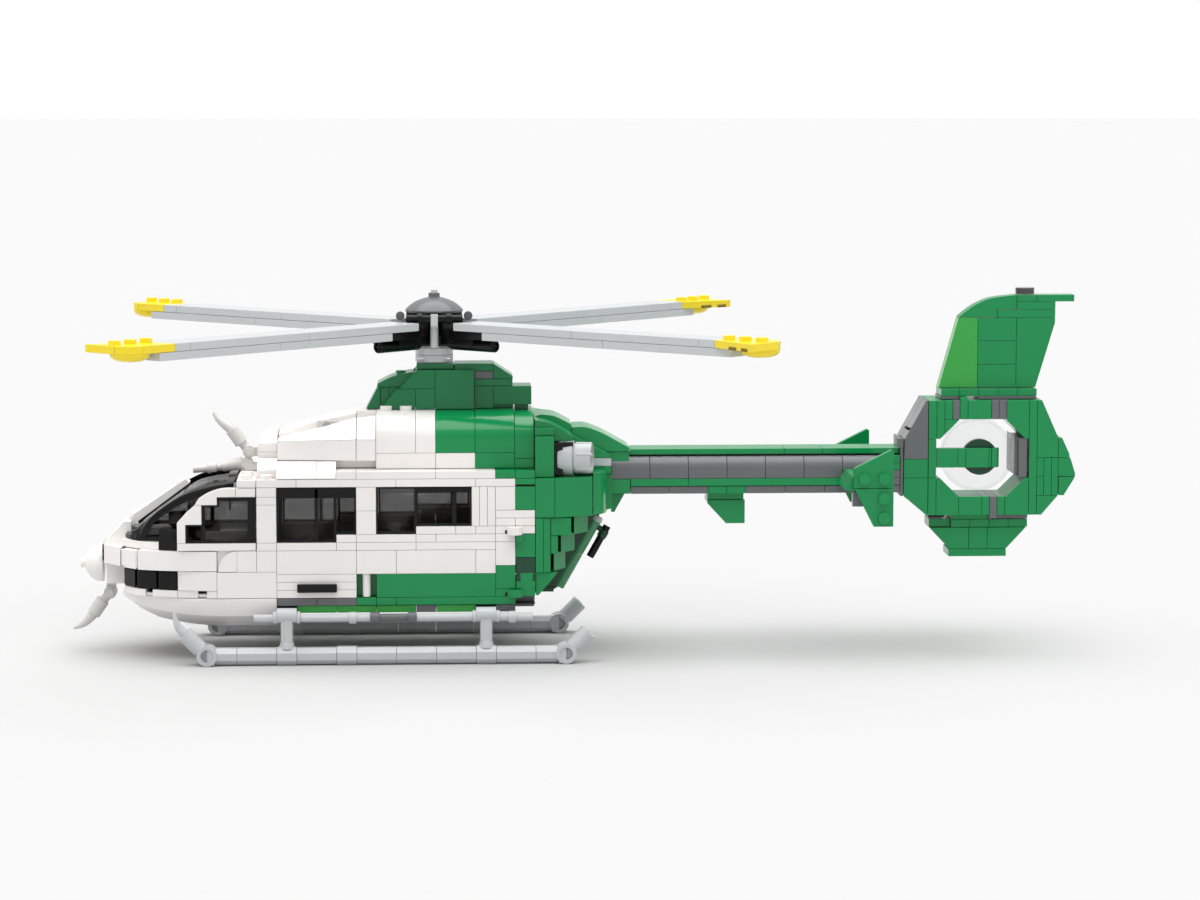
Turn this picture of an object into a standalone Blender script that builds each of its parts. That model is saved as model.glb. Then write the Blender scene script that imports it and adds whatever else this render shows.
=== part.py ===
"""A brick-built toy helicopter with skids, a shrouded tail rotor and clamshell rear doors.

Sizes are in millimetres and are turned to metres where a mesh is made. Stations run
along X from the first joint of the skid tube, nose towards -X, and the model is then
moved so that its origin is the middle of its bounding box, on the ground.
"""
import math

import bmesh
import bpy
from mathutils import Matrix, Vector

# Driving dimensions of the brick grid
STUD = 8.0
PLATE = 3.2
LEVEL_ZERO = 0.8
STUD_RADIUS = 2.4
STUD_HEIGHT = 1.7
BAR_RADIUS = 1.6
SEAM = 0.15

# Overall reach
NOSE_X = -69.4
TAIL_X = 343.5
CENTRE_X = (NOSE_X + TAIL_X) / 2

# Body
HALF_WIDTH = 4.5 * STUD
WALL = STUD
INNER = HALF_WIDTH - WALL
DOOR_THICKNESS = 4.0
PANE = 2.0

# Main rotor
HUB_X = 79.8
BLADE_SEAM_Z = 132.6
FIRST_BLADE = math.radians(47.2)
BLADE_HALF_WIDTH = STUD - SEAM
BLADE_ROOT = 17.5
BLADE_LOWER_ROOT = 33.0
TIP_START = 152.5
TIP_END = TIP_START + 3 * STUD
TIP_HOOK = 2 * STUD

# Tail rotor
TAIL_HUB_X = 304.0
TAIL_HUB_Z = 79.1
RING_HALF_WIDTH = 12.0
DISC_RADIUS = 15.3

# Skids
SKID_Y = 5 * STUD
SKID_RADIUS = 3.7
SKID_Z = 3.7
SKID_FRONT = -12.0
SKID_REAR = 132.2
STRUT_STATIONS = (20.0, 100.0)
STEP_ROD_Z = 18.9

# Rear doors
DOOR_HINGE_X = 112.0
DOOR_HINGE_Y = 38.0
POST_HALF = 2.7

# Sides of a round shape that is given none
ROUND = 24
MM = 0.001


def level(plates):
    """Height of the top of a number of plates, in millimetres."""
    return LEVEL_ZERO + PLATE * plates


def at(x, y, z):
    """A point given in millimetres by station, side and height, in metres."""
    return Vector(((x - CENTRE_X) * MM, y * MM, z * MM))


# Scene set-up
def clear_scene():
    for old in list(bpy.data.objects):
        bpy.data.objects.remove(old, do_unlink=True)


def make_collection(name):
    collection = bpy.data.collections.new(name)
    bpy.context.scene.collection.children.link(collection)
    return collection


clear_scene()
HELICOPTER = make_collection("helicopter")
CUTTERS = make_collection("cutters")


def make_material(name, colour, roughness=0.25, alpha=1.0, metallic=0.0):
    material = bpy.data.materials.new(name)
    material.use_nodes = True
    shader = material.node_tree.nodes["Principled BSDF"]
    shader.inputs["Base Color"].default_value = (*colour, 1.0)
    shader.inputs["Roughness"].default_value = roughness
    shader.inputs["Metallic"].default_value = metallic
    shader.inputs["Alpha"].default_value = alpha
    material.diffuse_color = (*colour, alpha)
    return material


WHITE = make_material("white", (0.87, 0.85, 0.83))
GREEN = make_material("green", (0.02, 0.27, 0.09))
DARK_GREEN = make_material("dark_green", (0.02, 0.07, 0.045))
LIGHT_GREY = make_material("light_grey", (0.45, 0.47, 0.49))
DARK_GREY = make_material("dark_grey", (0.12, 0.13, 0.14))
YELLOW = make_material("yellow", (0.93, 0.66, 0.02))
BLACK = make_material("black", (0.015, 0.015, 0.015))
SMOKE = make_material("smoke", (0.05, 0.04, 0.035), roughness=0.08, alpha=0.5)
CLEAR = make_material("clear", (0.85, 0.88, 0.9), roughness=0.05, alpha=0.4)


# Shapes
def shape_from_bmesh(bm, name="shape"):
    mesh = bpy.data.meshes.new(name)
    bm.to_mesh(mesh)
    bm.free()
    shape = bpy.data.objects.new(name, mesh)
    CUTTERS.objects.link(shape)
    return shape


def box(x0, x1, y0, y1, z0, z1):
    """An upright box between two corners."""
    bm = bmesh.new()
    size = Vector((x1 - x0, y1 - y0, z1 - z0)) * MM
    centre = at((x0 + x1) / 2, (y0 + y1) / 2, (z0 + z1) / 2)
    bmesh.ops.create_cube(bm, size=1.0, matrix=Matrix.LocRotScale(centre, None, size))
    return shape_from_bmesh(bm)


def baked(source):
    """A plain mesh of an object as it is evaluated, with its doubles merged."""
    depsgraph = bpy.context.evaluated_depsgraph_get()
    depsgraph.update()
    mesh = bpy.data.meshes.new_from_object(source.evaluated_get(depsgraph))
    bm = bmesh.new()
    bm.from_mesh(mesh)
    bmesh.ops.transform(bm, matrix=source.matrix_world, verts=bm.verts)
    bmesh.ops.remove_doubles(bm, verts=bm.verts, dist=1e-6)
    bmesh.ops.recalc_face_normals(bm, faces=bm.faces)
    bpy.data.objects.remove(source, do_unlink=True)
    return shape_from_bmesh(bm)


PLANES = {
    "XZ": Matrix(((1, 0, 0), (0, 0, -1), (0, 1, 0))).to_4x4(),
    "XY": Matrix.Identity(4),
    "YZ": Matrix(((0, 0, 1), (1, 0, 0), (0, 1, 0))).to_4x4(),
}


def outline(points, plane, low, high):
    """A flat outline in one plane, as thick as the span from low to high across it."""
    curve = bpy.data.curves.new("outline", "CURVE")
    curve.dimensions = "2D"
    curve.fill_mode = "BOTH"
    curve.extrude = (high - low) / 2 * MM
    spline = curve.splines.new("POLY")
    spline.points.add(len(points) - 1)
    for point, (u, v) in zip(spline.points, points):
        shift = CENTRE_X if plane[0] == "X" else 0.0
        point.co = ((u - shift) * MM, v * MM, 0.0, 1.0)
    spline.use_cyclic_u = True
    shape = bpy.data.objects.new("outline", curve)
    CUTTERS.objects.link(shape)
    middle = (low + high) / 2
    offset = {"XZ": (0, middle * MM, 0), "XY": (0, 0, middle * MM),
              "YZ": ((middle - CENTRE_X) * MM, 0, 0)}[plane]
    shape.matrix_world = Matrix.Translation(offset) @ PLANES[plane]
    return baked(shape)


def arc(centre, half_width, half_height, start, end, steps):
    """Points on an elliptic stretch of an outline, by angles in degrees."""
    angles = [math.radians(start + (end - start) * i / steps) for i in range(steps + 1)]
    return [(centre[0] + half_width * math.cos(a), centre[1] + half_height * math.sin(a))
            for a in angles]


def towards(direction):
    """The turn that brings +Z to a direction."""
    return Vector(direction).normalized().to_track_quat("Z", "Y")


def rod(start, end, radius, end_radius=None, sides=ROUND):
    """A round bar or cone between two points."""
    first, last = at(*start), at(*end)
    bm = bmesh.new()
    matrix = Matrix.LocRotScale((first + last) / 2, towards(last - first), None)
    end_radius = radius if end_radius is None else end_radius
    bmesh.ops.create_cone(bm, cap_ends=True, segments=sides, radius1=radius * MM,
                          radius2=end_radius * MM, depth=(last - first).length, matrix=matrix)
    return shape_from_bmesh(bm)


def turned(profile, base, direction, steps=ROUND):
    """A turned shape from (radius, height) points that run down its outer side."""
    mesh = bpy.data.meshes.new("profile")
    verts = [(radius * MM, 0.0, height * MM) for radius, height in profile]
    mesh.from_pydata(verts, [(i, i + 1) for i in range(len(verts) - 1)], [])
    shape = bpy.data.objects.new("turned", mesh)
    CUTTERS.objects.link(shape)
    screw = shape.modifiers.new("turn", "SCREW")
    screw.steps = steps
    screw.render_steps = steps
    screw.use_merge_vertices = True
    screw.merge_threshold = 1e-5
    shape.matrix_world = Matrix.LocRotScale(at(*base), towards(direction), None)
    return baked(shape)


def bent_tube(points, radius, taper=None):
    """A tube along points; taper gives each point's share of the radius."""
    curve = bpy.data.curves.new("tube", "CURVE")
    curve.dimensions = "3D"
    curve.bevel_depth = radius * MM
    curve.bevel_resolution = 2
    curve.use_fill_caps = True
    spline = curve.splines.new("POLY")
    spline.points.add(len(points) - 1)
    for i, place in enumerate(points):
        spline.points[i].co = (*at(*place), 1.0)
        spline.points[i].radius = taper[i] if taper else 1.0
    shape = bpy.data.objects.new("tube", curve)
    CUTTERS.objects.link(shape)
    return baked(shape)


def loft(sections):
    """A closed solid through rings of points that all have the same count."""
    bm = bmesh.new()
    rings = [[bm.verts.new(at(*point)) for point in ring] for ring in sections]
    count = len(rings[0])
    for first, second in zip(rings, rings[1:]):
        for i in range(count):
            j = (i + 1) % count
            bm.faces.new((first[i], first[j], second[j], second[i]))
    bm.faces.new(rings[0])
    bm.faces.new(rings[-1])
    bmesh.ops.recalc_face_normals(bm, faces=bm.faces)
    bmesh.ops.triangulate(bm, faces=bm.faces, quad_method="FIXED")
    return shape_from_bmesh(bm)


def carved(shape, operation, others):
    """A shape after one kind of boolean step with each of the others."""
    for other in others:
        step = shape.modifiers.new("carve", "BOOLEAN")
        step.operation = operation
        step.solver = "EXACT"
        step.object = other
        hide(other)
    bpy.context.view_layer.update()
    return baked(shape)


def joined(shapes):
    """One mesh from shapes that overlap."""
    return carved(shapes[0], "UNION", shapes[1:])


def stud(x, y, z, direction=(0, 0, 1)):
    """One coupling stud, sunk a little into what carries it."""
    way = Vector(direction).normalized()
    start = Vector((x, y, z)) - way * 0.4
    end = Vector((x, y, z)) + way * STUD_HEIGHT
    return rod(start, end, STUD_RADIUS, sides=16)


def mirrored(shape):
    """The same shape on the other side of the middle plane."""
    bm = bmesh.new()
    bm.from_mesh(shape.data)
    bmesh.ops.scale(bm, vec=(1, -1, 1), verts=bm.verts)
    bmesh.ops.reverse_faces(bm, faces=bm.faces)
    return shape_from_bmesh(bm)


def hide(shape):
    shape.hide_render = True
    shape.display_type = "WIRE"


def piece(name, material, shapes, cuts=(), parent=None):
    """One named piece: shapes joined by a union, then cut."""
    body, *others = shapes
    body.name = name
    body.data.name = name
    for operation, operands in (("UNION", others), ("DIFFERENCE", cuts)):
        for operand in operands:
            step = body.modifiers.new(operation.lower(), "BOOLEAN")
            step.operation = operation
            step.solver = "EXACT"
            step.object = operand
            hide(operand)
    body.data.materials.clear()
    body.data.materials.append(material)
    body.data.shade_smooth()
    body.data.set_sharp_from_angle(angle=math.radians(35))
    CUTTERS.objects.unlink(body)
    HELICOPTER.objects.link(body)
    if parent is not None:
        body.parent = parent
        body.matrix_parent_inverse = parent.matrix_world.inverted()
    return body


def pivot(name, place, direction=(0, 0, 1)):
    """An empty on a joint's axis, its Z along the axis."""
    empty = bpy.data.objects.new(name, None)
    empty.empty_display_size = 0.01
    empty.matrix_world = Matrix.LocRotScale(at(*place), towards(direction), None)
    HELICOPTER.objects.link(empty)
    bpy.context.view_layer.update()
    return empty


def side_name(stem, side):
    return f"{stem}_{'left' if side < 0 else 'right'}"


def side_box(x0, x1, inner, outer, z0, z1, side):
    """A box beside the middle plane, by its distances from it."""
    low, high = sorted((inner * side, outer * side))
    return box(x0, x1, low, high, z0, z1)


def side_outline(points, inner, outer, side):
    """An X and Z outline with its thickness beside the middle plane."""
    low, high = sorted((inner * side, outer * side))
    return outline(points, "XZ", low, high)


# Nose
DOME_Z = 36.6
DOME_RADIUS = 7.9
DOME_FRONT = -64.1
DOME_BACK = -56.0


def half_plan(stations):
    """A closed plan outline from the left side's (station, half width) points."""
    left = [(x, -y) for x, y in stations]
    right = [(x, y) for x, y in reversed(stations)]
    return left + right


def make_nose_dome():
    length = DOME_BACK - SEAM - DOME_FRONT
    nub = 1.5
    profile = [(0, length + nub), (1.65, length + nub), (1.65, length)]
    steps = 6
    for i in range(1, steps + 1):
        turn = math.radians(90 * i / steps)
        profile.append((max(1.65, DOME_RADIUS * math.sin(turn)), length * math.cos(turn)))
    profile.append((0, 0))
    dome = turned(profile, (DOME_BACK - SEAM, 0, DOME_Z), (-1, 0, 0))
    piece("nose_dome", WHITE, [dome])


def make_front_shell():
    """Nose tiers, lower cockpit walls and door posts in white."""
    back = 2 * STUD - SEAM
    middle = outline(half_plan([(-56, 8), (-53, 14), (-47.5, 20.5), (-40, 29.5),
                                (-24, 34.6), (-8, HALF_WIDTH), (back, HALF_WIDTH)]),
                     "XY", 37.2, level(14) - SEAM)
    low = outline(half_plan([(-46, 16), (-40, 27), (-24, 33), (-8, HALF_WIDTH),
                             (back, HALF_WIDTH)]), "XY", level(8) + SEAM, 37.4)
    sill = outline(half_plan([(-47.6, 16), (-40, 25), (-24.2, 33)]),
                   "XY", level(14) - 0.4, level(15) - 0.2)
    front = box(DOME_BACK, -46, -8, 8, 28.6, 45.0)
    cap = outline([(-56.0, 43.0), (-56.0, 45.0), (-47.2, 54.5), (-44.2, 54.5), (-44.2, 43.0)],
                  "XZ", -8, 8)
    strip = outline([(-47.2, 52.0), (-47.2, 54.6), (-22.2, 71.4), (-20.4, 69.6), (-44.2, 52.0)],
                    "XZ", -4, 4)
    posts = [side_box(STUD + SEAM, back, INNER, HALF_WIDTH, 44, level(22) - SEAM, side)
             for side in (-1, 1)]
    hollow = outline(half_plan([(-44, 8), (-38, 19), (-24, 25.5), (-8, INNER),
                                (back + 2, INNER)]), "XY", 20, 51)
    pocket_outer = outline(half_plan([(-60, 40), (-24 + SEAM, 40)]),
                           "XY", 29.4 - SEAM, 36.9 + SEAM)
    pocket_block = box(-60, DOME_BACK + 9.0, -8.15, 8.15, 20, 50)
    piece("front_shell", WHITE, [middle, low, sill, front, cap, strip, *posts],
          [hollow, carved(pocket_outer, "DIFFERENCE", [pocket_block])])


def make_nose_band():
    """The black band that wraps the nose behind the dome's block."""
    outer = outline(half_plan([(-46.8, 17.5), (-40.5, 27), (-24.2, 33)]),
                    "XY", 29.4 + SEAM, 36.9 - SEAM)
    inner = outline(half_plan([(-43.5, 8), (-37.5, 18.5), (-20, 25)]), "XY", 20, 50)
    piece("nose_band", BLACK, [outer], [inner])


def hull_ring(x, half_top, half_bottom, bottom, top):
    shoulder = top - 1.8
    left = [(x, -half_top, top), (x, -half_top, shoulder), (x, -half_bottom, bottom)]
    return left + [(px, -py, pz) for px, py, pz in reversed(left)]


def make_belly_hull():
    top = level(8) - SEAM
    sections = [hull_ring(-47.4, 14, 10, 23.8, top), hull_ring(-41, 22, 14, 19.9, top),
                hull_ring(-33.8, 27, 18, 17.0, top), hull_ring(-24, 32, 20, 14.9, top),
                hull_ring(-12, 35, 22, level(4), top), hull_ring(15.7, HALF_WIDTH, 24, level(4), top)]
    piece("belly_hull", WHITE, [loft(sections)], [box(-30, 20, -22, 22, 23.2, 40)])


def make_landing_lamp():
    x = -20.7
    top = 14.3 - 0.4
    profile = [(0, 0), (3.7, 0), (3.7, -1.2), (3.0, -1.2), (2.9, -2.0), (2.0, -2.8), (0, -3.0)]
    piece("landing_lamp", DARK_GREY, [turned(profile, (x, 0, top - 0.6), (0, 0, 1), 16)])


# Windscreen stations: X, half width, height of the side edge, of the shoulder and of the
# ridge. The last lies past the roof's edge, where the canopy is cut off and stays open.
CANOPY = [
    (-46.2, 15.0, 49.2, 50.2, 50.4), (-44.0, 19.4, 49.0, 51.4, 51.8),
    (-41.4, 23.2, 48.95, 52.6, 53.6), (-39.8, 24.7, 49.6, 54.0, 54.9),
    (-38.6, 25.5, 52.4, 55.2, 55.8), (-35.4, 27.2, 57.8, 58.3, 58.2),
    (-30.4, 29.0, 62.2, 62.4, 61.9), (-24.2, 30.3, 66.3, 66.6, 66.4),
    (-20.2, 30.9, 68.3, 68.8, 69.2), (-16.0, 31.2, 69.7, 70.5, 71.2),
    (-8.4, 31.4, 71.6, 72.3, 72.7), (-1.0, 31.5, 72.7, 73.3, 73.5),
    (1.0, 31.5, 72.8, 73.4, 73.6)]
CANOPY_FOOT = 48.6 + SEAM
CANOPY_BACK = -1.0
FRAME_WALL = 1.2
GLASS_DEPTH = 1.45
GLASS_WALL = 1.0
CANOPY_ARCH = [(-37.0, 48.6), (-36.6, 51.6), (-33.4, 56.2), (-28.6, 60.2), (-22.8, 63.9),
               (-15.4, 67.0), (-8.2, 68.9), (3.0, 70.2)]
CANOPY_WINDOW = [(-43.3, 15.2), (-41.2, 18.6), (-38.4, 22.2), (-35.0, 24.2), (-30.0, 26.0),
                 (-24.0, 27.3), (-16.0, 28.2), (-4.5, 28.5)]


def canopy_bubble(inset, front=0.0):
    """The canopy as a closed solid, smaller by an inset on every side but below."""
    rings = []
    for index, (x, half, edge, shoulder, ridge) in enumerate(CANOPY):
        x += front if index == 0 else 0.0
        half -= inset
        left = [(x, -half, 42.0 - inset), (x, -half, edge - inset),
                (x, 2.5 - half, shoulder - inset), (x, -8.0, ridge - inset)]
        rings.append(left + [(px, -py, pz) for px, py, pz in reversed(left)])
    return loft(rings)


def canopy_trims(foot, back):
    """What is cut off below the canopy, behind it and round the nose wedge."""
    return [box(-60, 10, -45, 45, 20, foot), box(back, 10, -45, 45, 20, 90),
            box(-60, -44.05, -8.15, 8.15, 40, 60)]


def make_windscreen():
    shell = carved(canopy_bubble(0.0), "DIFFERENCE",
                   [canopy_bubble(FRAME_WALL, FRAME_WALL),
                    *canopy_trims(CANOPY_FOOT, CANOPY_BACK)])
    arch = outline([*CANOPY_ARCH, (3, 80), (-50, 80), (-50, 48.6)], "XZ", -45, 45)
    lip = box(-50, -22.4, -44, 44, 48.5, 50.8)
    frame = carved(shell, "INTERSECT", [joined([arch, lip])])
    blocks = [outline([(x, y * side) for x, y in ((-31.4, 27.7), (-24.3, 29.4), (-24.3, 33.4),
                                                  (-31.4, 30.4))], "XY", CANOPY_FOOT, 53.7)
              for side in (-1, 1)]
    window = outline(half_plan(CANOPY_WINDOW), "XY", 44, 80)
    piece("windscreen_frame", BLACK, [carved(frame, "DIFFERENCE", [window]), *blocks])
    door_side = outline([(-22.4, 30), (-22.4, 59.0), (-15.0, 65.0), (-9.0, 68.2), (-2.0, 69.4),
                         (3.0, 69.6), (3.0, 30)], "XZ", -45, 45)
    glass = carved(canopy_bubble(GLASS_DEPTH, GLASS_DEPTH), "DIFFERENCE",
                   [canopy_bubble(GLASS_DEPTH + GLASS_WALL, GLASS_DEPTH + GLASS_WALL), door_side,
                    *canopy_trims(CANOPY_FOOT + SEAM, CANOPY_BACK - 2 * SEAM)])
    piece("windscreen_glass", SMOKE, [glass])


# Cockpit doors
DOOR_FRONT = -24.0
COCKPIT_WINDOW = [(-20.3, level(15)), (-20.3, 56.3), (-13.9, 56.3), (-13.9, 64.2), (-7.7, 64.2),
                  (-7.7, 67.4), (5.6, 67.4), (5.6, level(15))]


def shrunk(points, margin):
    """A stair-stepped outline pulled in on every side."""
    count = len(points)
    turning = sum(points[i][0] * points[(i + 1) % count][1]
                  - points[(i + 1) % count][0] * points[i][1] for i in range(count))
    sign = 1.0 if turning > 0 else -1.0
    result = []
    for i, (x, z) in enumerate(points):
        px, pz = points[i - 1]
        nx, nz = points[(i + 1) % count]
        into, out = Vector((x - px, z - pz)).normalized(), Vector((nx - x, nz - z)).normalized()
        normal = Vector((-into.y, into.x)) + Vector((-out.y, out.x))
        result.append((x + normal.x * margin * sign, z + normal.y * margin * sign))
    return result


def make_cockpit_door(side):
    hinge = pivot(side_name("cockpit_door_hinge", side),
                  (DOOR_FRONT, HALF_WIDTH * side, level(18)))
    front = DOOR_FRONT + SEAM
    back = STUD - 2 * SEAM
    edge = [(front, level(14) + SEAM), (front, 57.1), (-19.9, 62.6), (-15.7, 66.4), (-11.6, 69.0),
            (-7.1, 70.7), (-2.0, level(22) - SEAM), (back, level(22) - SEAM),
            (back, level(14) + SEAM)]
    outer = side_outline(edge, HALF_WIDTH - DOOR_THICKNESS, HALF_WIDTH, side)
    window = side_outline(COCKPIT_WINDOW, 20, 50, side)
    piece(side_name("cockpit_door", side), WHITE, [outer], [window], hinge)
    pane = side_outline(shrunk(COCKPIT_WINDOW, 2 * SEAM), HALF_WIDTH - 3.0,
                        HALF_WIDTH - 3.0 + PANE, side)
    piece(side_name("cockpit_window", side), SMOKE, [pane], (), hinge)


# Middle doors
MID_WINDOW = [(2 * STUD + 1.0, level(15)), (2 * STUD + 1.0, level(22) - 1.0),
              (6 * STUD - 1.0, level(22) - 1.0), (6 * STUD - 1.0, level(16)),
              (5 * STUD, level(16)), (5 * STUD, level(15))]


def make_mid_door(side):
    door = side_box(2 * STUD + SEAM, 6 * STUD - SEAM, INNER, HALF_WIDTH,
                    level(8) + SEAM, level(22) - SEAM, side)
    handle = side_box(24.4, 40.4, HALF_WIDTH - 1, HALF_WIDTH + 2.4, 29.0, 32.4, side)
    piece(side_name("mid_door", side), WHITE, [door, handle],
          [side_outline(MID_WINDOW, 20, 50, side)])
    pane = side_outline(shrunk(MID_WINDOW, 2 * SEAM), HALF_WIDTH - 4.0,
                        HALF_WIDTH - 4.0 + PANE, side)
    piece(side_name("mid_window", side), SMOKE, [pane])


# Aft walls
AFT_WINDOW = [(7 * STUD, level(16)), (7 * STUD, level(22) - 1.0), (94.5, level(22) - 1.0),
              (94.5, level(17)), (9 * STUD, level(17)), (9 * STUD, level(16))]


def make_side_wall(side):
    wall = side_box(6 * STUD + SEAM, 14 * STUD - SEAM, INNER, HALF_WIDTH,
                    level(11) + SEAM, level(22) - SEAM, side)
    piece(side_name("side_wall", side), WHITE, [wall], [side_outline(AFT_WINDOW, 20, 50, side)])
    pane = side_outline(shrunk(AFT_WINDOW, 2 * SEAM), HALF_WIDTH - 4.0,
                        HALF_WIDTH - 4.0 + PANE, side)
    piece(side_name("aft_window", side), SMOKE, [pane])


def make_lower_wall(side):
    wall = side_box(6 * STUD + SEAM, 14 * STUD - SEAM, INNER, HALF_WIDTH,
                    level(7) + SEAM, level(11) - SEAM, side)
    recess = side_box(6 * STUD - 1, 7 * STUD, HALF_WIDTH - 6, HALF_WIDTH + 1,
                      level(8), level(11) - 1.6, side)
    post = rod((52.0, (HALF_WIDTH - 4.0) * side, level(8) - 0.5),
               (52.0, (HALF_WIDTH - 4.0) * side, level(11) - 1.2), BAR_RADIUS, sides=12)
    clip_x, clip_y = DOOR_HINGE_X - 3.0, (HALF_WIDTH + 1.2) * side
    clip = rod((clip_x, clip_y, level(8) + SEAM), (clip_x, clip_y, level(9) - SEAM),
               BAR_RADIUS, sides=12)
    piece(side_name("lower_wall", side), GREEN, [wall, clip],
          [carved(recess, "DIFFERENCE", [post])])


# Floor and roof
def make_floor():
    plate = box(2 * STUD + SEAM, 15 * STUD - SEAM, -HALF_WIDTH + 1, HALF_WIDTH - 1,
                level(6), level(7) - SEAM)
    deck = box(2 * STUD + SEAM, 6 * STUD - SEAM, -HALF_WIDTH, HALF_WIDTH,
               level(7) - 0.4, level(8) - SEAM)
    inner_deck = box(5 * STUD, 15 * STUD - SEAM, -INNER + SEAM * 2, INNER - SEAM * 2,
                     level(7) - 0.4, level(8) - SEAM)
    sill = box(DOOR_HINGE_X + 1, 15 * STUD - SEAM, -HALF_WIDTH + 1, HALF_WIDTH - 1,
               level(7) - 0.4, level(8) - 2 * SEAM)
    beams = [box(x - STUD / 2, x + STUD / 2, -HALF_WIDTH + 0.3, HALF_WIDTH - 0.3,
                 16.6, level(6) + 0.4) for x in STRUT_STATIONS]
    seats = [box(x, x + 14, -22, 22, level(8) - 0.6, level(11)) for x in (60.0, 88.0)]
    backs = [box(x + 11, x + 14, -22, 22, level(11) - 0.4, level(17)) for x in (60.0, 88.0)]
    piece("floor", DARK_GREY, [plate, deck, inner_deck, sill, *beams, *seats, *backs])


def make_cockpit_interior():
    """Pilot seats and instrument panel on one tray."""
    tray = box(-28, 14, -20, 20, 23.2 + 0.3, level(8) + 1.0)
    shapes = [tray]
    for side in (-1, 1):
        shapes.append(side_box(-6, 9, 3, 17, level(8), level(11), side))
        shapes.append(outline([(5, level(11) - 0.4), (8, level(11) - 0.4), (12, level(18)),
                               (9, level(18))], "XZ", *sorted((3 * side, 17 * side))))
    panel = outline([(-28, level(8)), (-28, 44), (-24, 46), (-21, 44), (-23, level(8))],
                    "XZ", -18, 18)
    piece("cockpit_interior", DARK_GREY, [*shapes, panel])


def make_roof():
    slab = box(SEAM, 14 * STUD - SEAM, -HALF_WIDTH, HALF_WIDTH, level(22) + SEAM,
               level(23) - 0.1)
    upper = box(5 * STUD, 14 * STUD - SEAM, -HALF_WIDTH, HALF_WIDTH, level(23) - 0.5,
                level(24) - SEAM)
    middle = box(1.0 * STUD, 5 * STUD + 1, -INNER, INNER, level(23) - 0.5, level(24) - SEAM)
    tiles = outline([(-HALF_WIDTH, level(23) - 0.4), (-INNER, level(25)), (-INNER + 4, level(25)),
                     (-INNER + 4, level(23) - 0.4)], "YZ", 2 * STUD, 5 * STUD)
    piece("roof", WHITE, [slab, upper, middle, tiles, mirrored(tiles)])


# Engine cowls
COWL_TOP = 31
COWL_FLAT = 12.5
COWL_SHOULDER_Z = 90.0


def cowl_ring(x, top, shoulder, top_half, side_half, base):
    left = [(x, -side_half, base), (x, -side_half, shoulder), (x, -top_half, top)]
    return left + [(px, -py, pz) for px, py, pz in reversed(left)]


def make_cowls():
    base = level(24) + SEAM
    front = loft([cowl_ring(STUD, 86.0, 85.0, 16, 20, base),
                  cowl_ring(2 * STUD, 91.5, 88.9, 14, 22, base),
                  cowl_ring(3.6 * STUD, 95.0, 89.2, 12, 24, base),
                  cowl_ring(5.2 * STUD, 98.4, 89.6, 12, 26, base),
                  cowl_ring(7 * STUD, level(COWL_TOP), COWL_SHOULDER_Z, 12, INNER, base)])
    shoulder = [(-INNER, base)] + arc((-COWL_FLAT, COWL_SHOULDER_Z), INNER - COWL_FLAT,
                                      level(COWL_TOP) - COWL_SHOULDER_Z, 180, 90, 5)
    section = shoulder + [(-y, z) for y, z in reversed(shoulder)]
    white = outline(section, "YZ", 7 * STUD - 0.5, 10 * STUD - SEAM)
    studs = [stud(x, -1.5 * STUD, level(COWL_TOP)) for x in (60.0, 68.0)]
    piece("cowl_front", WHITE, [front, white, *studs, *[mirrored(s) for s in studs]],
          [box(2 * STUD - 1, 5 * STUD + SEAM, -INNER - 1, -INNER + 4.3, 70, level(25) + SEAM),
           box(2 * STUD - 1, 5 * STUD + SEAM, INNER - 4.3, INNER + 1, 70, level(25) + SEAM)])
    piece("cowl_rear", GREEN, [outline(section, "YZ", 10 * STUD + SEAM, 15 * STUD - SEAM)],
          [box(110, 130, -40, 40, 70, level(24) + SEAM)])


def make_pylon():
    base = level(COWL_TOP) + SEAM + 0.2
    core = outline([(51.7, base), (57.0, 110.5), (61.3, 112.9), (70.2, 115.0), (72.4, 118.6),
                    (103.8, 118.6), (111.6, 113.4), (111.6, 109.4), (119.5, 109.4),
                    (119.5, base)], "XZ", -8, 8)
    cheeks = outline([(57.6, base), (64.1, 109.6), (72.6, 116.2), (95.9, 116.2), (95.9, 109.4),
                      (103.8, 109.4), (103.8, base)], "XZ", -11.2, 11.2)
    spared = [box(56, 72.2, y - 2.8, y + 2.8, 99, 102.2) for y in (-12, 12)]
    piece("pylon", GREEN, [core, cheeks], spared)


# Rear body
REAR_LEVELS = [(26.55, 120.8), (34.2, 128.7), (34.3, 132.6), (41.9, 132.6),
               (42.0, 135.5), (48.9, 135.5), (49.0, 142.0), (58.1, 142.0)]


def rear_ring(z, reach, inset):
    """Plan ring of the rear body at one height, its wall pulled in by inset."""
    corner = max(16 * STUD - 4.0 - (142.0 - reach) * 0.4, 118.0)
    side = HALF_WIDTH - inset
    shoulder_y = 22.0 - inset * 0.5
    left = [(100.0, -side), (corner - inset * 0.4, -side),
            ((corner + reach) / 2 - inset * 0.5, -(side + shoulder_y) / 2 - 2.0),
            (reach - inset, -shoulder_y), (reach - inset, -0.01)]
    right = [(x, -y) for x, y in reversed(left)]
    return [(x, y, z) for x, y in left + right]


def rear_solid(inset, low, high):
    rings = [rear_ring(z, reach, inset) for z, reach in REAR_LEVELS]
    rings[0] = [(x, y, low) for x, y, _ in rings[0]]
    rings[-1] = [(x, y, high) for x, y, _ in rings[-1]]
    return loft(rings)


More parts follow.
